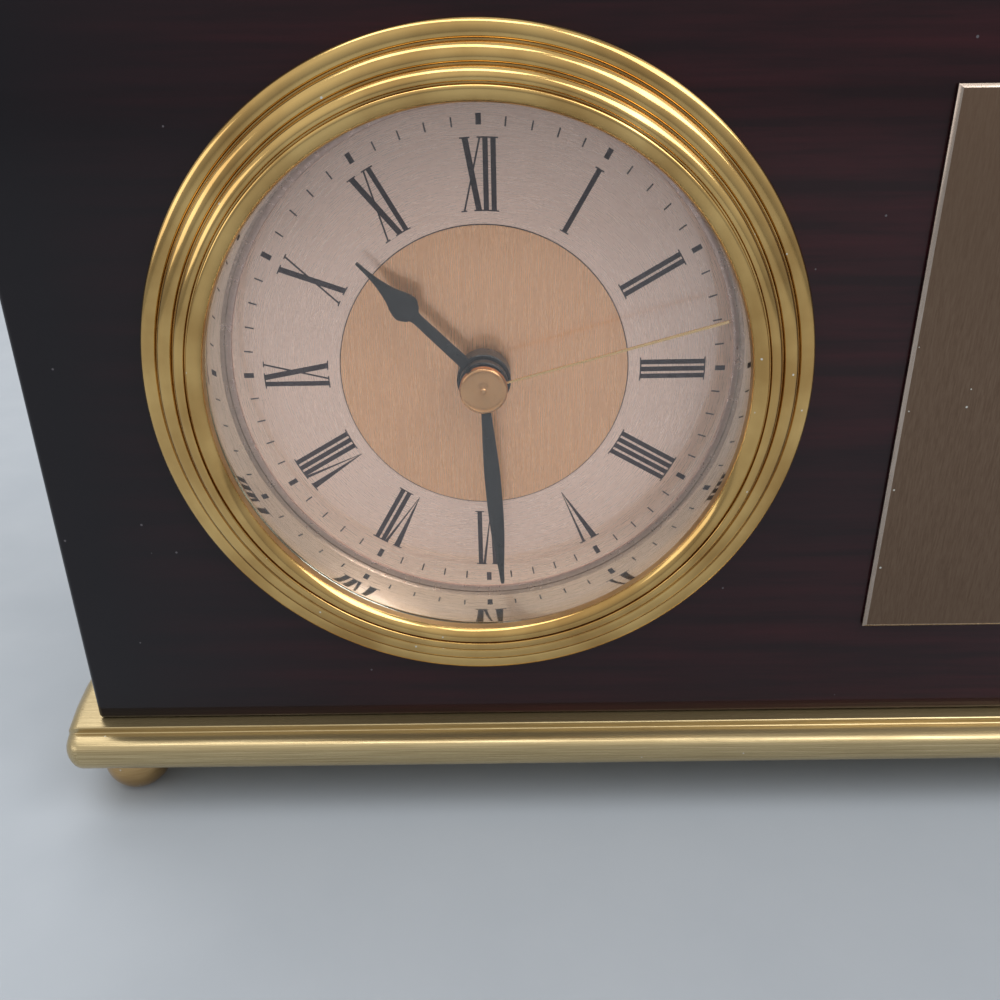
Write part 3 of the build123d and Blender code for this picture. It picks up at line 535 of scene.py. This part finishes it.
cell_jacket = speckled("cell_jacket", (0.045, 0.055, 0.16), (0.06, 0.07, 0.20), 0.3, 500.0, 0.000003,
                       metallic=0.4)

clear_glass, tree, shader, place = new_material(
    "clear_glass", Roughness=0.0, IOR=1.5, Transmission_Weight=1.0)
shader.inputs["Base Color"].default_value = (0.97, 0.98, 0.97, 1.0)
light_path = tree.nodes.new("ShaderNodeLightPath")
clear = tree.nodes.new("ShaderNodeBsdfTransparent")
clear.inputs["Color"].default_value = (0.93, 0.94, 0.93, 1.0)
choice = tree.nodes.new("ShaderNodeMixShader")
tree.links.new(light_path.outputs["Is Shadow Ray"], choice.inputs[0])
tree.links.new(shader.outputs[0], choice.inputs[1])
tree.links.new(clear.outputs[0], choice.inputs[2])
tree.links.new(choice.outputs[0], tree.nodes["Material Output"].inputs["Surface"])

coil_copper, tree, shader, place = new_material("coil_copper", metallic=1.0, Roughness=0.3)
turns = use_group(tree, straight_lines, place, Stretch=(9000.0, 200.0, 200.0))
colour_by(tree, shader, turns, (0.52, 0.20, 0.07), (0.70, 0.34, 0.14), (0.0, 1.0))
bump(tree, shader, turns, 0.00004)
print("materials so far:", len(bpy.data.materials))

# %% [markdown]
# ### The lacquered wood
# The block is veneered, stained nearly black with a red heart, and finished in thick gloss lacquer.
# The stain and the grain lie under the lacquer, so they go into the base colour, and the lacquer is
# the shader's coat. Towards the left end the red is left out, which paints shade there. The wood under
# it ripples very slightly, and a few specks of dust show pale.

# %% Wood finish
lacquered_wood, tree, shader, place = new_material("lacquered_wood", Coat_Weight=1.0, Coat_Roughness=0.015,
                                                   Coat_IOR=1.33)
shader.inputs["Specular IOR Level"].default_value = 0.08
grain = noise_node(tree, scaled(tree, place, (22.0, 60.0, 400.0)), detail=8.0, roughness=0.62)
figure = noise_node(tree, scaled(tree, place, (9.0, 14.0, 26.0)), detail=3.0)
streak = between(tree, grain, 0.0, 1.0, 0.38, 0.68)
red_heart = blend_colours(tree, streak, (0.013, 0.0030, 0.0042), (0.036, 0.0055, 0.0080))
across = tree.nodes.new("ShaderNodeSeparateXYZ")
tree.links.new(place, across.inputs[0])
# the red heart fades out towards the left end, which is painted darker and a little blue as painted shade
from_left = between(tree, across.outputs["X"], 0.0, 1.0, -0.088, -0.045)
red_share_and_painted_shade = math_node(tree, "MULTIPLY", from_left, between(tree, figure, 0.55, 1.0, 0.35, 0.65))
stained = blend_colours(tree, red_share_and_painted_shade, (0.0058, 0.0042, 0.0062), red_heart)
specks = use_group(tree, dust, place, Scale=260.0, Size=0.045, Share=0.22)
tree.links.new(blend_colours(tree, specks, stained, (0.10, 0.09, 0.10)), shader.inputs["Base Color"])
tree.links.new(between(tree, grain, 0.35, 0.5), shader.inputs["Roughness"])
ripple = noise_node(tree, place, scale=70.0, detail=1.0)
bump(tree, shader, ripple, 0.00002)
print("wood finish:", lacquered_wood.name)

# %% [markdown]
# ## The bezel
# The bezel is one brass ring, spun to a single section: three rounded beads that step up towards the
# middle, a fine groove inside each of them, and a roll that falls to the glass. It is a lathe job, so
# the section is drawn once and spun. Each bead leaves its groove steeply, is nearly level over its
# back and turns down at its inner edge, and a smooth line through a few points gives it that shape.

# %% Smooth lines
def smooth_line(points, steps):
    """A smooth line through points, each span drawn with a number of steps."""
    padded = [points[0], *points, points[-1]]
    line = []
    for before, start, end, after in zip(padded, padded[1:], padded[2:], padded[3:]):
        for step in range(steps):
            t = step / steps
            line.append(tuple(
                0.5 * (2 * b + (c - a) * t + (2 * a - 5 * b + 4 * c - d) * t ** 2
                       + (3 * b - a - 3 * c + d) * t ** 3)
                for a, b, c, d in zip(before, start, end, after)))
    return line + [points[-1]]


# %% Turn the bezel
# (radius, height in front of the wood), from the rim to the glass
bead_1 = ((44.45, 1.0), (44.45, 1.5), (44.36, 1.86), (44.12, 2.16), (43.75, 2.36), (43.3, 2.46),
          (42.85, 2.48), (42.5, 2.43), (42.32, 2.33), (42.24, 2.18))
bead_2 = ((42.05, 2.25), (41.98, 2.88), (41.78, 3.4), (41.4, 3.78), (40.9, 4.0), (40.4, 4.09), (40.05, 4.05),
          (39.86, 3.95), (39.77, 3.78))
bead_3 = ((39.58, 3.8), (39.5, 4.4), (39.28, 4.86), (38.95, 5.18), (38.5, 5.38), (38.15, 5.4), (37.95, 5.32),
          (37.84, 5.2), (37.8, 5.05))
roll = ((37.6, 5.1), (37.54, 5.34), (37.38, 5.5), (37.1, 5.56), (36.75, 5.52), (36.4, 5.38), (36.05, 5.14),
        (35.78, 4.86), (35.64, 4.6), (35.6, 4.4))
bore_radius, bore_low = 35.6, 3.35
glass_seat = 37.61
case_seat, case_seat_height = 39.51, 1.4
groove_depth = 0.18
rim_radius = 44.45
round_steps = 288            # faces round the bezel and the ring

section = [(rim_radius - 0.1, 0.0), (rim_radius, 0.1)]
for bead in (bead_1, bead_2, bead_3):
    section += smooth_line(bead, 4)
    edge, floor = bead[-1]
    section += [(edge - 0.02, floor - groove_depth), (edge - 0.14, floor - groove_depth)]
section += smooth_line(roll, 4)
section += [(bore_radius, bore_low), (glass_seat, bore_low), (glass_seat, case_seat_height),
            (case_seat, case_seat_height), (case_seat, 0.0)]
bezel = lathe(in_front(section, wood_front), case_axis, round_steps)
smooth(bezel, 32)
hang(bezel, "turned_bezel", "insert", "polished_brass", bezel_brass, "bezel")

# %% Leave the bore of the bezel as the sandpaper left it
def give_faces(piece, material, wanted):
    """Gives a second material to the faces whose corners are all at places that are wanted."""
    piece.data.materials.append(material)
    take(piece)
    bpy.ops.object.mode_set(mode="EDIT")
    bpy.ops.mesh.select_mode(type="VERT")
    pick(wanted)
    bpy.ops.mesh.select_mode(type="FACE")
    piece.active_material_index = len(piece.data.materials) - 1
    bpy.ops.object.material_slot_assign()
    bpy.ops.mesh.select_mode(type="VERT")
    bpy.ops.object.mode_set(mode="OBJECT")
    count = sum(face.material_index == len(piece.data.materials) - 1 for face in piece.data.polygons)
    print(piece.name, material.name, "faces:", count)


def radius_from(axis, place):
    return math.hypot(place.x - axis[0], place.z - axis[1])


bore_edge = (bore_radius + 0.03) * MM
give_faces(bezel, sanded_brass, lambda place: radius_from(case_axis, place) < bore_edge)

# %% [markdown]
# ## The ring and the glass
# Inside the bezel a short tube of mirror-bright plastic spaces the glass from the dial and doubles
# the minute track in its wall. It has a small foot on the dial. The glass is a shallow dome with a
# flat rim, a lathe job too, closed at its pole by merging.

# %% Turn the mirror ring
ring_axis = (case_axis[0] + 0.45 * MM, case_axis[1] + 0.15 * MM)
ring_section = [(36.7, 0.0), (34.95, 0.0), (34.95, 0.22), (35.0, 0.3), (35.08, 0.33), (35.72, 0.33),
                (35.72, 0.2), (35.82, 0.2), (35.82, 0.5), (36.02, 8.6), (36.1, 8.9), (36.25, 9.08),
                (36.4, 9.12), (36.7, 9.12)]
ring = lathe(in_front(ring_section, dial_face), ring_axis, round_steps)
smooth(ring, 25)
hang(ring, "mirror_ring", "insert", "ring_mirror", ring_mirror, "reflector_ring")
foot_top = dial_face - 0.45 * MM
foot_radius = 35.9 * MM
give_faces(ring, ring_foot_painted_pink,
           lambda place: place.y > foot_top and radius_from(ring_axis, place) < foot_radius)

# %% Turn the glass
glass_front = 9.95           # in front of the dial
glass_thickness = 0.8
glass_rise = 1.6
glass_flat = 34.6
glass_radius = 37.6
glass_edge = 0.1             # the bevel of its rim


def dome(radius, rim, rise, steps):
    """Points of a shallow dome, from its pole to its rim."""
    sphere = (radius ** 2 + rise ** 2) / (2 * rise)
    points = []
    for step in range(steps + 1):
        out = radius * step / steps
        points.append((out, rim + rise - sphere + math.sqrt(sphere ** 2 - out ** 2)))
    return points


glass_section = dome(glass_flat, glass_front, glass_rise, 24)
glass_section += [(glass_radius - glass_edge, glass_front), (glass_radius, glass_front - glass_edge),
                  (glass_radius, glass_front - glass_thickness)]
glass_section += dome(glass_flat, glass_front - glass_thickness, glass_rise, 24)[::-1]
glass = lathe(in_front(glass_section, dial_face), case_axis, 192, closed=False)
smooth(glass, 30)
hang(glass, "domed_glass", "insert", "clear_glass", clear_glass, "crystal")

# %% [markdown]
# ## The base
# The base is a bar of drawn brass with the same moulding in front and behind: a flat top, a small
# step, a ledge and a round nose. Its ends are bowed and rounded over by hand. So the section is drawn
# once and extruded from the middle to the end, the last few sections each a little smaller, and the
# other half is its mirror image. A last pass draws the corners back, which bows the ends.

# %% Draw out the base
base_low, base_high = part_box("base_plate")
base_middle = tuple((low + high) / 2 for low, high in zip(base_low, base_high))
base_tall = (base_high.z - base_low.z) / MM
base_deep = (base_high.y - base_low.y) / MM
wood_deep = (wood_high.y - wood_low.y) / MM
top_reach, ledge_reach, toe_reach = 2.05, 4.15, 3.6       # in front of the wood
step_drop = 1.1
nose_height = 2.85
toe_inset = 0.4
step_edge = 0.12             # the bevels of the moulding's edges
ledge_edge = 0.1
end_round = 2.3
end_bow = 2.8
inner_lines = (12.0, 6.0, 0.0, -6.0, -12.0)       # without these the flat faces would keep straight ends


def base_section():
    """The section as (y, z) points in metres, once round."""
    half = wood_deep / 2
    out = base_deep / 2
    ledge = base_tall - step_drop
    front = [(half + top_reach - step_edge, base_tall), (half + top_reach, base_tall - step_edge),
             (half + top_reach, ledge + ledge_edge), (half + top_reach + ledge_edge, ledge),
             (half + ledge_reach - 0.3, ledge), (half + ledge_reach - ledge_edge, ledge - 0.06)]
    for turn in range(8, -9, -1):
        angle = math.radians(turn * 10)
        height = ledge - ledge_edge - nose_height if turn > 0 else nose_height
        reach = out - (half + toe_reach) if turn < 0 else out - (half + ledge_reach) + ledge_edge
        front.append((out - reach * (1 - math.cos(angle)), nose_height + height * math.sin(angle)))
    front.append((half + toe_reach - toe_inset, 0.0))
    under = [(y, 0.0) for y in inner_lines]
    over = [(-y, base_tall) for y in inner_lines]
    points = front + under + [(-y, z) for y, z in reversed(front)] + over
    return [(base_middle[1] - y * MM, base_low.z + z * MM) for y, z in points]


base = draw_chain([(base_middle[0], y, z) for y, z in base_section()])
bpy.ops.mesh.edge_face_add()

reach = base_high.x - base_middle[0]
stations = [(reach * share, 0.0) for share in (0.0, 0.4, 0.8, 0.9)] + [(reach - end_round * MM, 0.0)]
for turn in range(15, 91, 15):
    angle = math.radians(turn)
    stations.append((reach - end_round * MM * (1 - math.sin(angle)), end_round * (1 - math.cos(angle))))
for (here, inset), (there, next_inset) in zip(stations, stations[1:]):
    bpy.ops.mesh.extrude_region_move(TRANSFORM_OT_translate={"value": (there - here, 0, 0)})
    across = (base_deep - 2 * next_inset) / (base_deep - 2 * inset)
    up = (base_tall - 2 * next_inset) / (base_tall - 2 * inset)
    if across < 1:
        bpy.ops.transform.resize(value=(1, across, up), center_override=base_middle)
bpy.ops.object.mode_set(mode="OBJECT")

mesh = bmesh.new()
mesh.from_mesh(base.data)
middle_face = [face for face in mesh.faces
               if all(abs(vertex.co.x - base_middle[0]) < seam_width / 2 for vertex in face.verts)]
bmesh.ops.delete(mesh, geom=middle_face, context="FACES_ONLY")
mesh.to_mesh(base.data)
mesh.free()
other_half = base.modifiers.new("other_half", "MIRROR")
other_half.use_axis[0] = True
bpy.ops.object.modifier_apply(modifier=other_half.name)
for vertex in base.data.vertices:
    across = (vertex.co.y - base_middle[1]) / (base_deep / 2 * MM)
    along = vertex.co.x - base_middle[0]
    vertex.co.x -= end_bow * MM * across ** 2 * along / reach
take(base)
bpy.ops.object.mode_set(mode="EDIT")
close_edit()
smooth(base, 40)
hang(base, "moulded_base", "stand", "satin_brass", base_brass, "base_plate")

# %% [markdown]
# ## The plaque
# The plaque is a plain sheet of brass with its front edges cut at a slant. Its slanting rim is painted
# light, as a painted highlight, and its brushed face dark, as painted shade. It starts as a block, its
# front face is inset, and the block's front edge is drawn back, which makes the four slanting sides.

# %% Cut the plaque
plaque_low, plaque_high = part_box("plaque_plate")
plaque_size = plaque_high - plaque_low
slant, slant_depth = 0.45 * MM, 0.35 * MM
near_edge = 0.01 * MM
start_fresh()
bpy.ops.mesh.primitive_cube_add(size=1, location=(plaque_low + plaque_high) / 2, scale=plaque_size)
plaque = bpy.context.object
bpy.ops.object.transform_apply(location=True, scale=True)
bpy.ops.object.mode_set(mode="EDIT")
pick(lambda place: place.y < plaque_low.y + near_edge)
bpy.ops.mesh.inset(thickness=slant)
pick(lambda place: place.y < plaque_low.y + near_edge
     and (min(place.x - plaque_low.x, plaque_high.x - place.x) < near_edge
          or min(place.z - plaque_low.z, plaque_high.z - place.z) < near_edge))
bpy.ops.transform.translate(value=(0, slant_depth, 0))
bpy.ops.object.mode_set(mode="OBJECT")
soften_edges(plaque, 0.05)
smooth(plaque, 20)
hang(plaque, "cut_plaque", "stand", "plaque_brass", plaque_painted_highlight, "plaque_plate")
# the front face takes the dark copy, which is painted shade
give_faces(plaque, plaque_brass, lambda place: place.y < plaque_low.y + seam_width)

# %% [markdown]
# ## The printing on the dial
# The ink is a thin film, but it is still something on the metal, so it is modelled as bars two
# hundredths of a millimetre thick. A Roman numeral has three kinds of stroke: upright, thick slant
# and thin slant, and every stroke ends in a hairline that follows the dial's circle. Each numeral is
# drawn upright at twelve, its ends are bent to the circle, and then it is turned to its hour.

# %% Strokes of ink
ink_film = 0.02
stroke_width = 0.68
stroke_gap = 0.34
hairline = 0.17
overhang = 0.31              # of a hairline past its stroke
numeral_low = 21.85          # radii of the two hairlines' outer edges
numeral_high = 31.0


def bar(foot, head, low, high, film=ink_film, cuts=0):
    """A bar of ink at twelve o'clock. foot and head are its (left, right) sides, across; low and high
    are radii. All in millimetres."""
    start_fresh()
    middle = (dial_axis[0] + (foot[0] + foot[1]) / 2 * MM, dial_face - film / 2 * MM,
              dial_axis[1] + (low + high) / 2 * MM)
    size = ((foot[1] - foot[0]) * MM, film * MM, (high - low) * MM)
    bpy.ops.mesh.primitive_cube_add(size=1, location=middle, scale=size)
    piece = bpy.context.object
    bpy.ops.object.transform_apply(location=True, scale=True)
    if foot == head and not cuts:
        return piece
    bpy.ops.object.mode_set(mode="EDIT")
    for side in ((1, 0) if head[1] > foot[1] else (0, 1)):       # the leading side moves first
        pick(lambda place: place.z > middle[2] and (place.x > middle[0]) == bool(side))
        bpy.ops.transform.translate(value=((head[side] - foot[side]) * MM, 0, 0))
    for cut in range(1, cuts + 1):
        bpy.ops.mesh.select_all(action="SELECT")
        place = dial_axis[0] + (foot[0] + (foot[1] - foot[0]) * cut / (cuts + 1)) * MM
        bpy.ops.mesh.bisect(plane_co=(place, 0, 0), plane_no=(1, 0, 0))
    bpy.ops.object.mode_set(mode="OBJECT")
    return piece


def hairlines(spans, low):
    """Hairlines across the ends of strokes. Spans that overlap are drawn as one."""
    merged = []
    for left, right in sorted(spans):
        if merged and left <= merged[-1][1]:
            merged[-1][1] = max(right, merged[-1][1])
        else:
            merged.append([left, right])
    return [bar(tuple(span), tuple(span), low, low + hairline, cuts=int((span[1] - span[0]) / 0.6))
            for span in merged]


# %% Letters, and the numerals made of them
v_width, v_thick, v_thin = 2.40, 0.90, 0.42
x_width, x_thick, x_thin = 2.38, 0.78, 0.24
stroke_low = numeral_low + hairline
stroke_high = numeral_high - hairline


def letter_i(left):
    right = left + stroke_width
    span = (left - overhang, right + overhang)
    return [bar((left, right), (left, right), stroke_low, stroke_high)], [span], [span]


def letter_v(left):
    right = left + v_width
    tip = (left + right) / 2 - 0.12
    point = (tip - 0.03, tip + 0.03)
    bars = [bar(point, (left, left + v_thick), numeral_low, stroke_high),
            bar(point, (right - v_thin, right), numeral_low, stroke_high, film=0.9 * ink_film)]
    spans = [(left - 1.3 * overhang, left + v_thick + 0.12), (right - v_thin - 0.12, right + 1.3 * overhang)]
    return bars, spans, []


def letter_x(left):
    right = left + x_width
    bars = [bar((right - x_thick, right), (left, left + x_thick), stroke_low, stroke_high),
            bar((left, left + x_thin), (right - x_thin, right), stroke_low, stroke_high, film=0.9 * ink_film)]
    over = [(left - overhang, left + x_thick + 0.22), (right - x_thin - 0.22, right + overhang)]
    under = [(left - overhang, left + x_thin + 0.22), (right - x_thick - 0.22, right + overhang)]
    return bars, over, under


letters = {"I": (letter_i, stroke_width), "V": (letter_v, v_width), "X": (letter_x, x_width)}
mixed_gap = 0.24             # between letters that differ


def space_between(first, second):
    """The white between two letters of a numeral."""
    if first == second:
        return stroke_gap
    return 0.0 if first == "V" else mixed_gap


def numeral(word, hour):
    """Draws one numeral upright at twelve, bends its ends to the circle and turns it to its hour."""
    width = sum(letters[letter][1] for letter in word)
    width += sum(space_between(*pair) for pair in zip(word, word[1:]))
    left = -width / 2
    bars, over, under = [], [], []
    for index, letter in enumerate(word):
        draw, size = letters[letter]
        drawn, top, bottom = draw(left)
        bars += drawn
        over += top
        under += bottom
        left += size + (space_between(letter, word[index + 1]) if index + 1 < len(word) else 0)
    bars += hairlines(over, numeral_high - hairline) + hairlines(under, numeral_low)
    piece = join("numeral_" + word, bars)
    for vertex in piece.data.vertices:
        across = vertex.co.x - dial_axis[0]
        up = vertex.co.z - dial_axis[1]
        vertex.co.z = dial_axis[1] + math.sqrt(up ** 2 - across ** 2)
    turn_on_dial(piece, hour * 30)
    return piece


def turn_on_dial(piece, degrees):
    """Turns a piece clockwise about the dial's axis, as the dial stands, and applies it."""
    centre = Vector((dial_axis[0], 0, dial_axis[1]))
    turn = math.radians(degrees) - dial_turn
    piece.matrix_world = (Matrix.Translation(centre) @ Matrix.Rotation(turn, 4, "Y")
                          @ Matrix.Translation(-centre) @ piece.matrix_world)
    apply_place(piece)


# %% Print the numerals
hours = ("XII", "I", "II", "III", "IIII", "V", "VI", "VII", "VIII", "IX", "X", "XI")
numerals = join("numerals", [numeral(word, hour) for hour, word in enumerate(hours)])
hang(numerals, "printed_numerals", "insert", "black_hand", printed_ink)

# %% Print the minute track and the line round the gold disc
hour_block = (0.70, 32.40, 33.78)        # width, and the radii of its ends
minute_tick = (0.20, 32.30, 33.50)


def mark(minute):
    width, low, high = hour_block if minute % 5 == 0 else minute_tick
    piece = bar((-width / 2, width / 2), (-width / 2, width / 2), low, high)
    turn_on_dial(piece, minute * 6)
    return piece


track = join("track", [mark(minute) for minute in range(60)])
hang(track, "printed_minute_track", "insert", "black_hand", printed_ink)

disc_low, disc_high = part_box("dial_centre_disc")
line_low = (disc_high.x - disc_low.x) / 2 / MM
line_high = line_low + 0.13
line_film = 0.05
line_section = [(line_low, 0.0), (line_low, line_film), (line_high, line_film), (line_high, 0.0)]
line = lathe(in_front(line_section, dial_face), dial_axis, 192)
hang(line, "printed_disc_line", "insert", "black_hand", printed_ink)

# %% [markdown]
# ## The hands
# The hands are stamped from thin sheet and blacked. Their outlines are drawn from the root to the tip
# as one smooth line through a few points, the flat face is filled and extruded to the thickness of
# the sheet, and its edges get a small bevel so that they catch light. The collet that grips the pipe
# is turned and joined to the blade.

# %% Helpers for stamped hands
def stamped_blade(half_outline, thickness, height, clock_angle, bevel_width, steps=5):
    """A flat blade from (along, half width) points, its face at a height over the dial."""
    side = smooth_line(half_outline, steps)
    outline = [(half, along) for along, half in side] + [(-half, along) for along, half in reversed(side)]
    piece = draw_chain([(dial_axis[0] + across * MM, dial_face - height * MM, dial_axis[1] + along * MM)
                        for across, along in outline])
    bpy.ops.mesh.edge_face_add()
    bpy.ops.mesh.extrude_region_move(TRANSFORM_OT_translate={"value": (0, thickness * MM, 0)})
    close_edit()
    soften_edges(piece, bevel_width, 60)
    turn_on_dial(piece, clock_angle)
    return piece


def collet(radius, bore, low, high, bevel=0.15):
    """The turned sleeve under a hand."""
    section = [(bore, low), (radius - bevel, low), (radius, low + bevel), (radius, high - bevel),
               (radius - bevel, high), (bore, high)]
    return lathe(in_front(section, dial_face), dial_axis, 96)


# %% Stamp the hour hand and the minute hand
hour_angle, minute_angle, second_angle = 315.05, 176.1, 74.9       # degrees clockwise from twelve
hour_top, minute_top, second_top = 4.2, 6.4, 7.6                   # heights over the dial
hour_outline = ((3.3, 0.82), (6.0, 0.80), (10.0, 0.76), (12.5, 0.78), (13.2, 1.35), (14.2, 1.92),
                (15.4, 1.74), (17.0, 1.06), (19.0, 0.55), (20.8, 0.30), (22.7, 0.20), (22.9, 0.08))
minute_outline = ((2.9, 0.62), (8.0, 0.90), (12.7, 1.11), (17.0, 1.12), (19.5, 1.08), (22.5, 0.95),
                  (25.5, 0.70), (28.4, 0.42), (30.5, 0.28), (30.8, 0.10))
hour_blade = stamped_blade(hour_outline, 0.4, hour_top, hour_angle, 0.08)
hour_piece = join("hour", [hour_blade, collet(3.7, 2.02, 0.9, hour_top)])
smooth(hour_piece, 35)
hang(hour_piece, "black_hour_hand", "hour", "black_hand", black_hand, "hour_hand")
minute_blade = stamped_blade(minute_outline, 0.35, minute_top, minute_angle, 0.08)
minute_piece = join("minute", [minute_blade, collet(3.3, 1.22, 4.8, minute_top)])
smooth(minute_piece, 35)
hang(minute_piece, "black_minute_hand", "minute", "black_hand", black_hand, "minute_hand")

# %% Stamp the seconds hand and turn its cap
second_outline = ((1.0, 0.15), (12.0, 0.17), (24.0, 0.19), (32.9, 0.20), (33.1, 0.12))
second_blade = stamped_blade(second_outline, 0.2, second_top, second_angle, 0.04, steps=2)
second_piece = join("seconds", [second_blade, collet(1.3, 0.46, 6.8, second_top, bevel=0.06)])
smooth(second_piece, 35)
hang(second_piece, "gold_seconds_hand", "seconds", "polished_brass", hand_brass, "seconds_hand")

cap_section = [(0.0, 8.68), (0.28, 8.66), (0.36, 8.56), (0.42, 8.52), (2.2, 8.52), (2.62, 8.56),
               (2.78, 8.66), (3.0, 8.62), (3.14, 8.48), (3.2, 8.3), (3.2, 7.64), (3.16, 7.6), (0.0, 7.6)]
cap = lathe(in_front(cap_section, dial_face), dial_axis, 96, closed=False)
smooth(cap, 40)
hang(cap, "brass_cap", "seconds", "polished_brass", cap_brass, "seconds_cap")

# %% [markdown]
# ## Finishes for the solid parts
# The parts whose shape is already right keep their mesh and only get a better material. It goes into
# their material slots, because nothing else about them may change.

# %% Dress the solid parts
foot_names = ["foot_" + place for place in ("front_left", "front_right", "rear_left", "rear_right")]
finishes = {
    lacquered_wood: ["wood_body"],
    foot_brass: foot_names,
    zinc: ["foot_studs", "base_screws", "movement_screws"],
    white_tape: ["plaque_tape"],
    silver_dial_painted_pink: ["dial_plate"],
    gold_dial: ["dial_centre_disc"],
    case_plastic: ["case_cup", "setting_knob"],
    black_rubber: ["friction_ring"],
    movement_plastic: ["movement_front_plate", "movement_middle_plate", "movement_rear_plate"],
    soft_iron: ["stator", "coil_core"],
    wheel_plastic: ["coil_bobbin", "hour_wheel", "seconds_wheel", "third_wheel", "step_wheel", "rotor_pinion",
                    "motion_wheel", "knob_stem"],
    coil_copper: ["coil_winding"],
    board_green: ["circuit_board"],
    chip_black: ["clock_chip"],
    bright_nickel: ["quartz_can", "contact_negative", "contact_positive", "battery_button"],
    wheel_brass: ["centre_wheel"],
    magnet_black: ["rotor_magnet"],
    cell_jacket: ["battery_cell"],
}
for material, names in finishes.items():
    for name in names:
        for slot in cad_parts[name].material_slots:
            slot.material = material
print("dressed:", sum(len(names) for names in finishes.values()))

# %% [markdown]
# ## The stage
# A plain pale floor and soft light from large lamps suit a gloss object: small lamps would make hard
# white spots. Metal shows whatever is round it, so the world goes from grey at the horizon to pale
# overhead, which gives the turned brass its bands.

# %% Floor
start_fresh()
floor_size = 6.0
bpy.ops.mesh.primitive_plane_add(size=floor_size, location=(0, 0, 0))
floor = bpy.context.object
floor.name = "floor"
floor_paper = speckled("floor_paper", (0.36, 0.39, 0.43), (0.34, 0.37, 0.41), 0.7, 40.0, 0.0)
floor.data.materials.append(floor_paper)

# %% World
world = bpy.data.worlds.new("room")
world.use_nodes = True
bpy.context.scene.world = world
tree = world.node_tree
background = tree.nodes["Background"]
direction = tree.nodes.new("ShaderNodeTexCoord").outputs["Generated"]
upward = tree.nodes.new("ShaderNodeSeparateXYZ")
tree.links.new(direction, upward.inputs[0])
room_light = between(tree, upward.outputs["Z"], 0.0, 1.0, 0.0, 0.6)
horizon, overhead = (0.33, 0.35, 0.38), (0.78, 0.78, 0.76)
tree.links.new(blend_colours(tree, room_light, horizon, overhead), background.inputs["Color"])
background.inputs["Strength"].default_value = 1.0

# %% Lamps
def soft_lamp(name, place, width, depth, power):
    """A large softbox that looks at the clock."""
    data = bpy.data.lights.new(name, "AREA")
    data.shape = "RECTANGLE"
    data.size = width
    data.size_y = depth
    data.energy = power
    lamp = bpy.data.objects.new(name, data)
    bpy.context.scene.collection.objects.link(lamp)
    lamp.location = place
    aim = Vector((0, 0, 0.06)) - Vector(place)
    lamp.rotation_euler = aim.to_track_quat("-Z", "Y").to_euler()
    return lamp


soft_lamp("right_softbox", (0.75, -0.55, 1.0), 1.0, 0.6, 8.0)
soft_lamp("top_softbox", (-0.2, -0.3, 1.25), 1.0, 0.4, 4.0)
soft_lamp("left_softbox", (-1.1, -0.5, 0.45), 0.7, 0.5, 1.5)
soft_lamp("back_softbox", (-0.45, 0.7, 1.05), 0.9, 0.9, 5.0)
view = bpy.context.scene.view_settings
view.view_transform = "Standard"
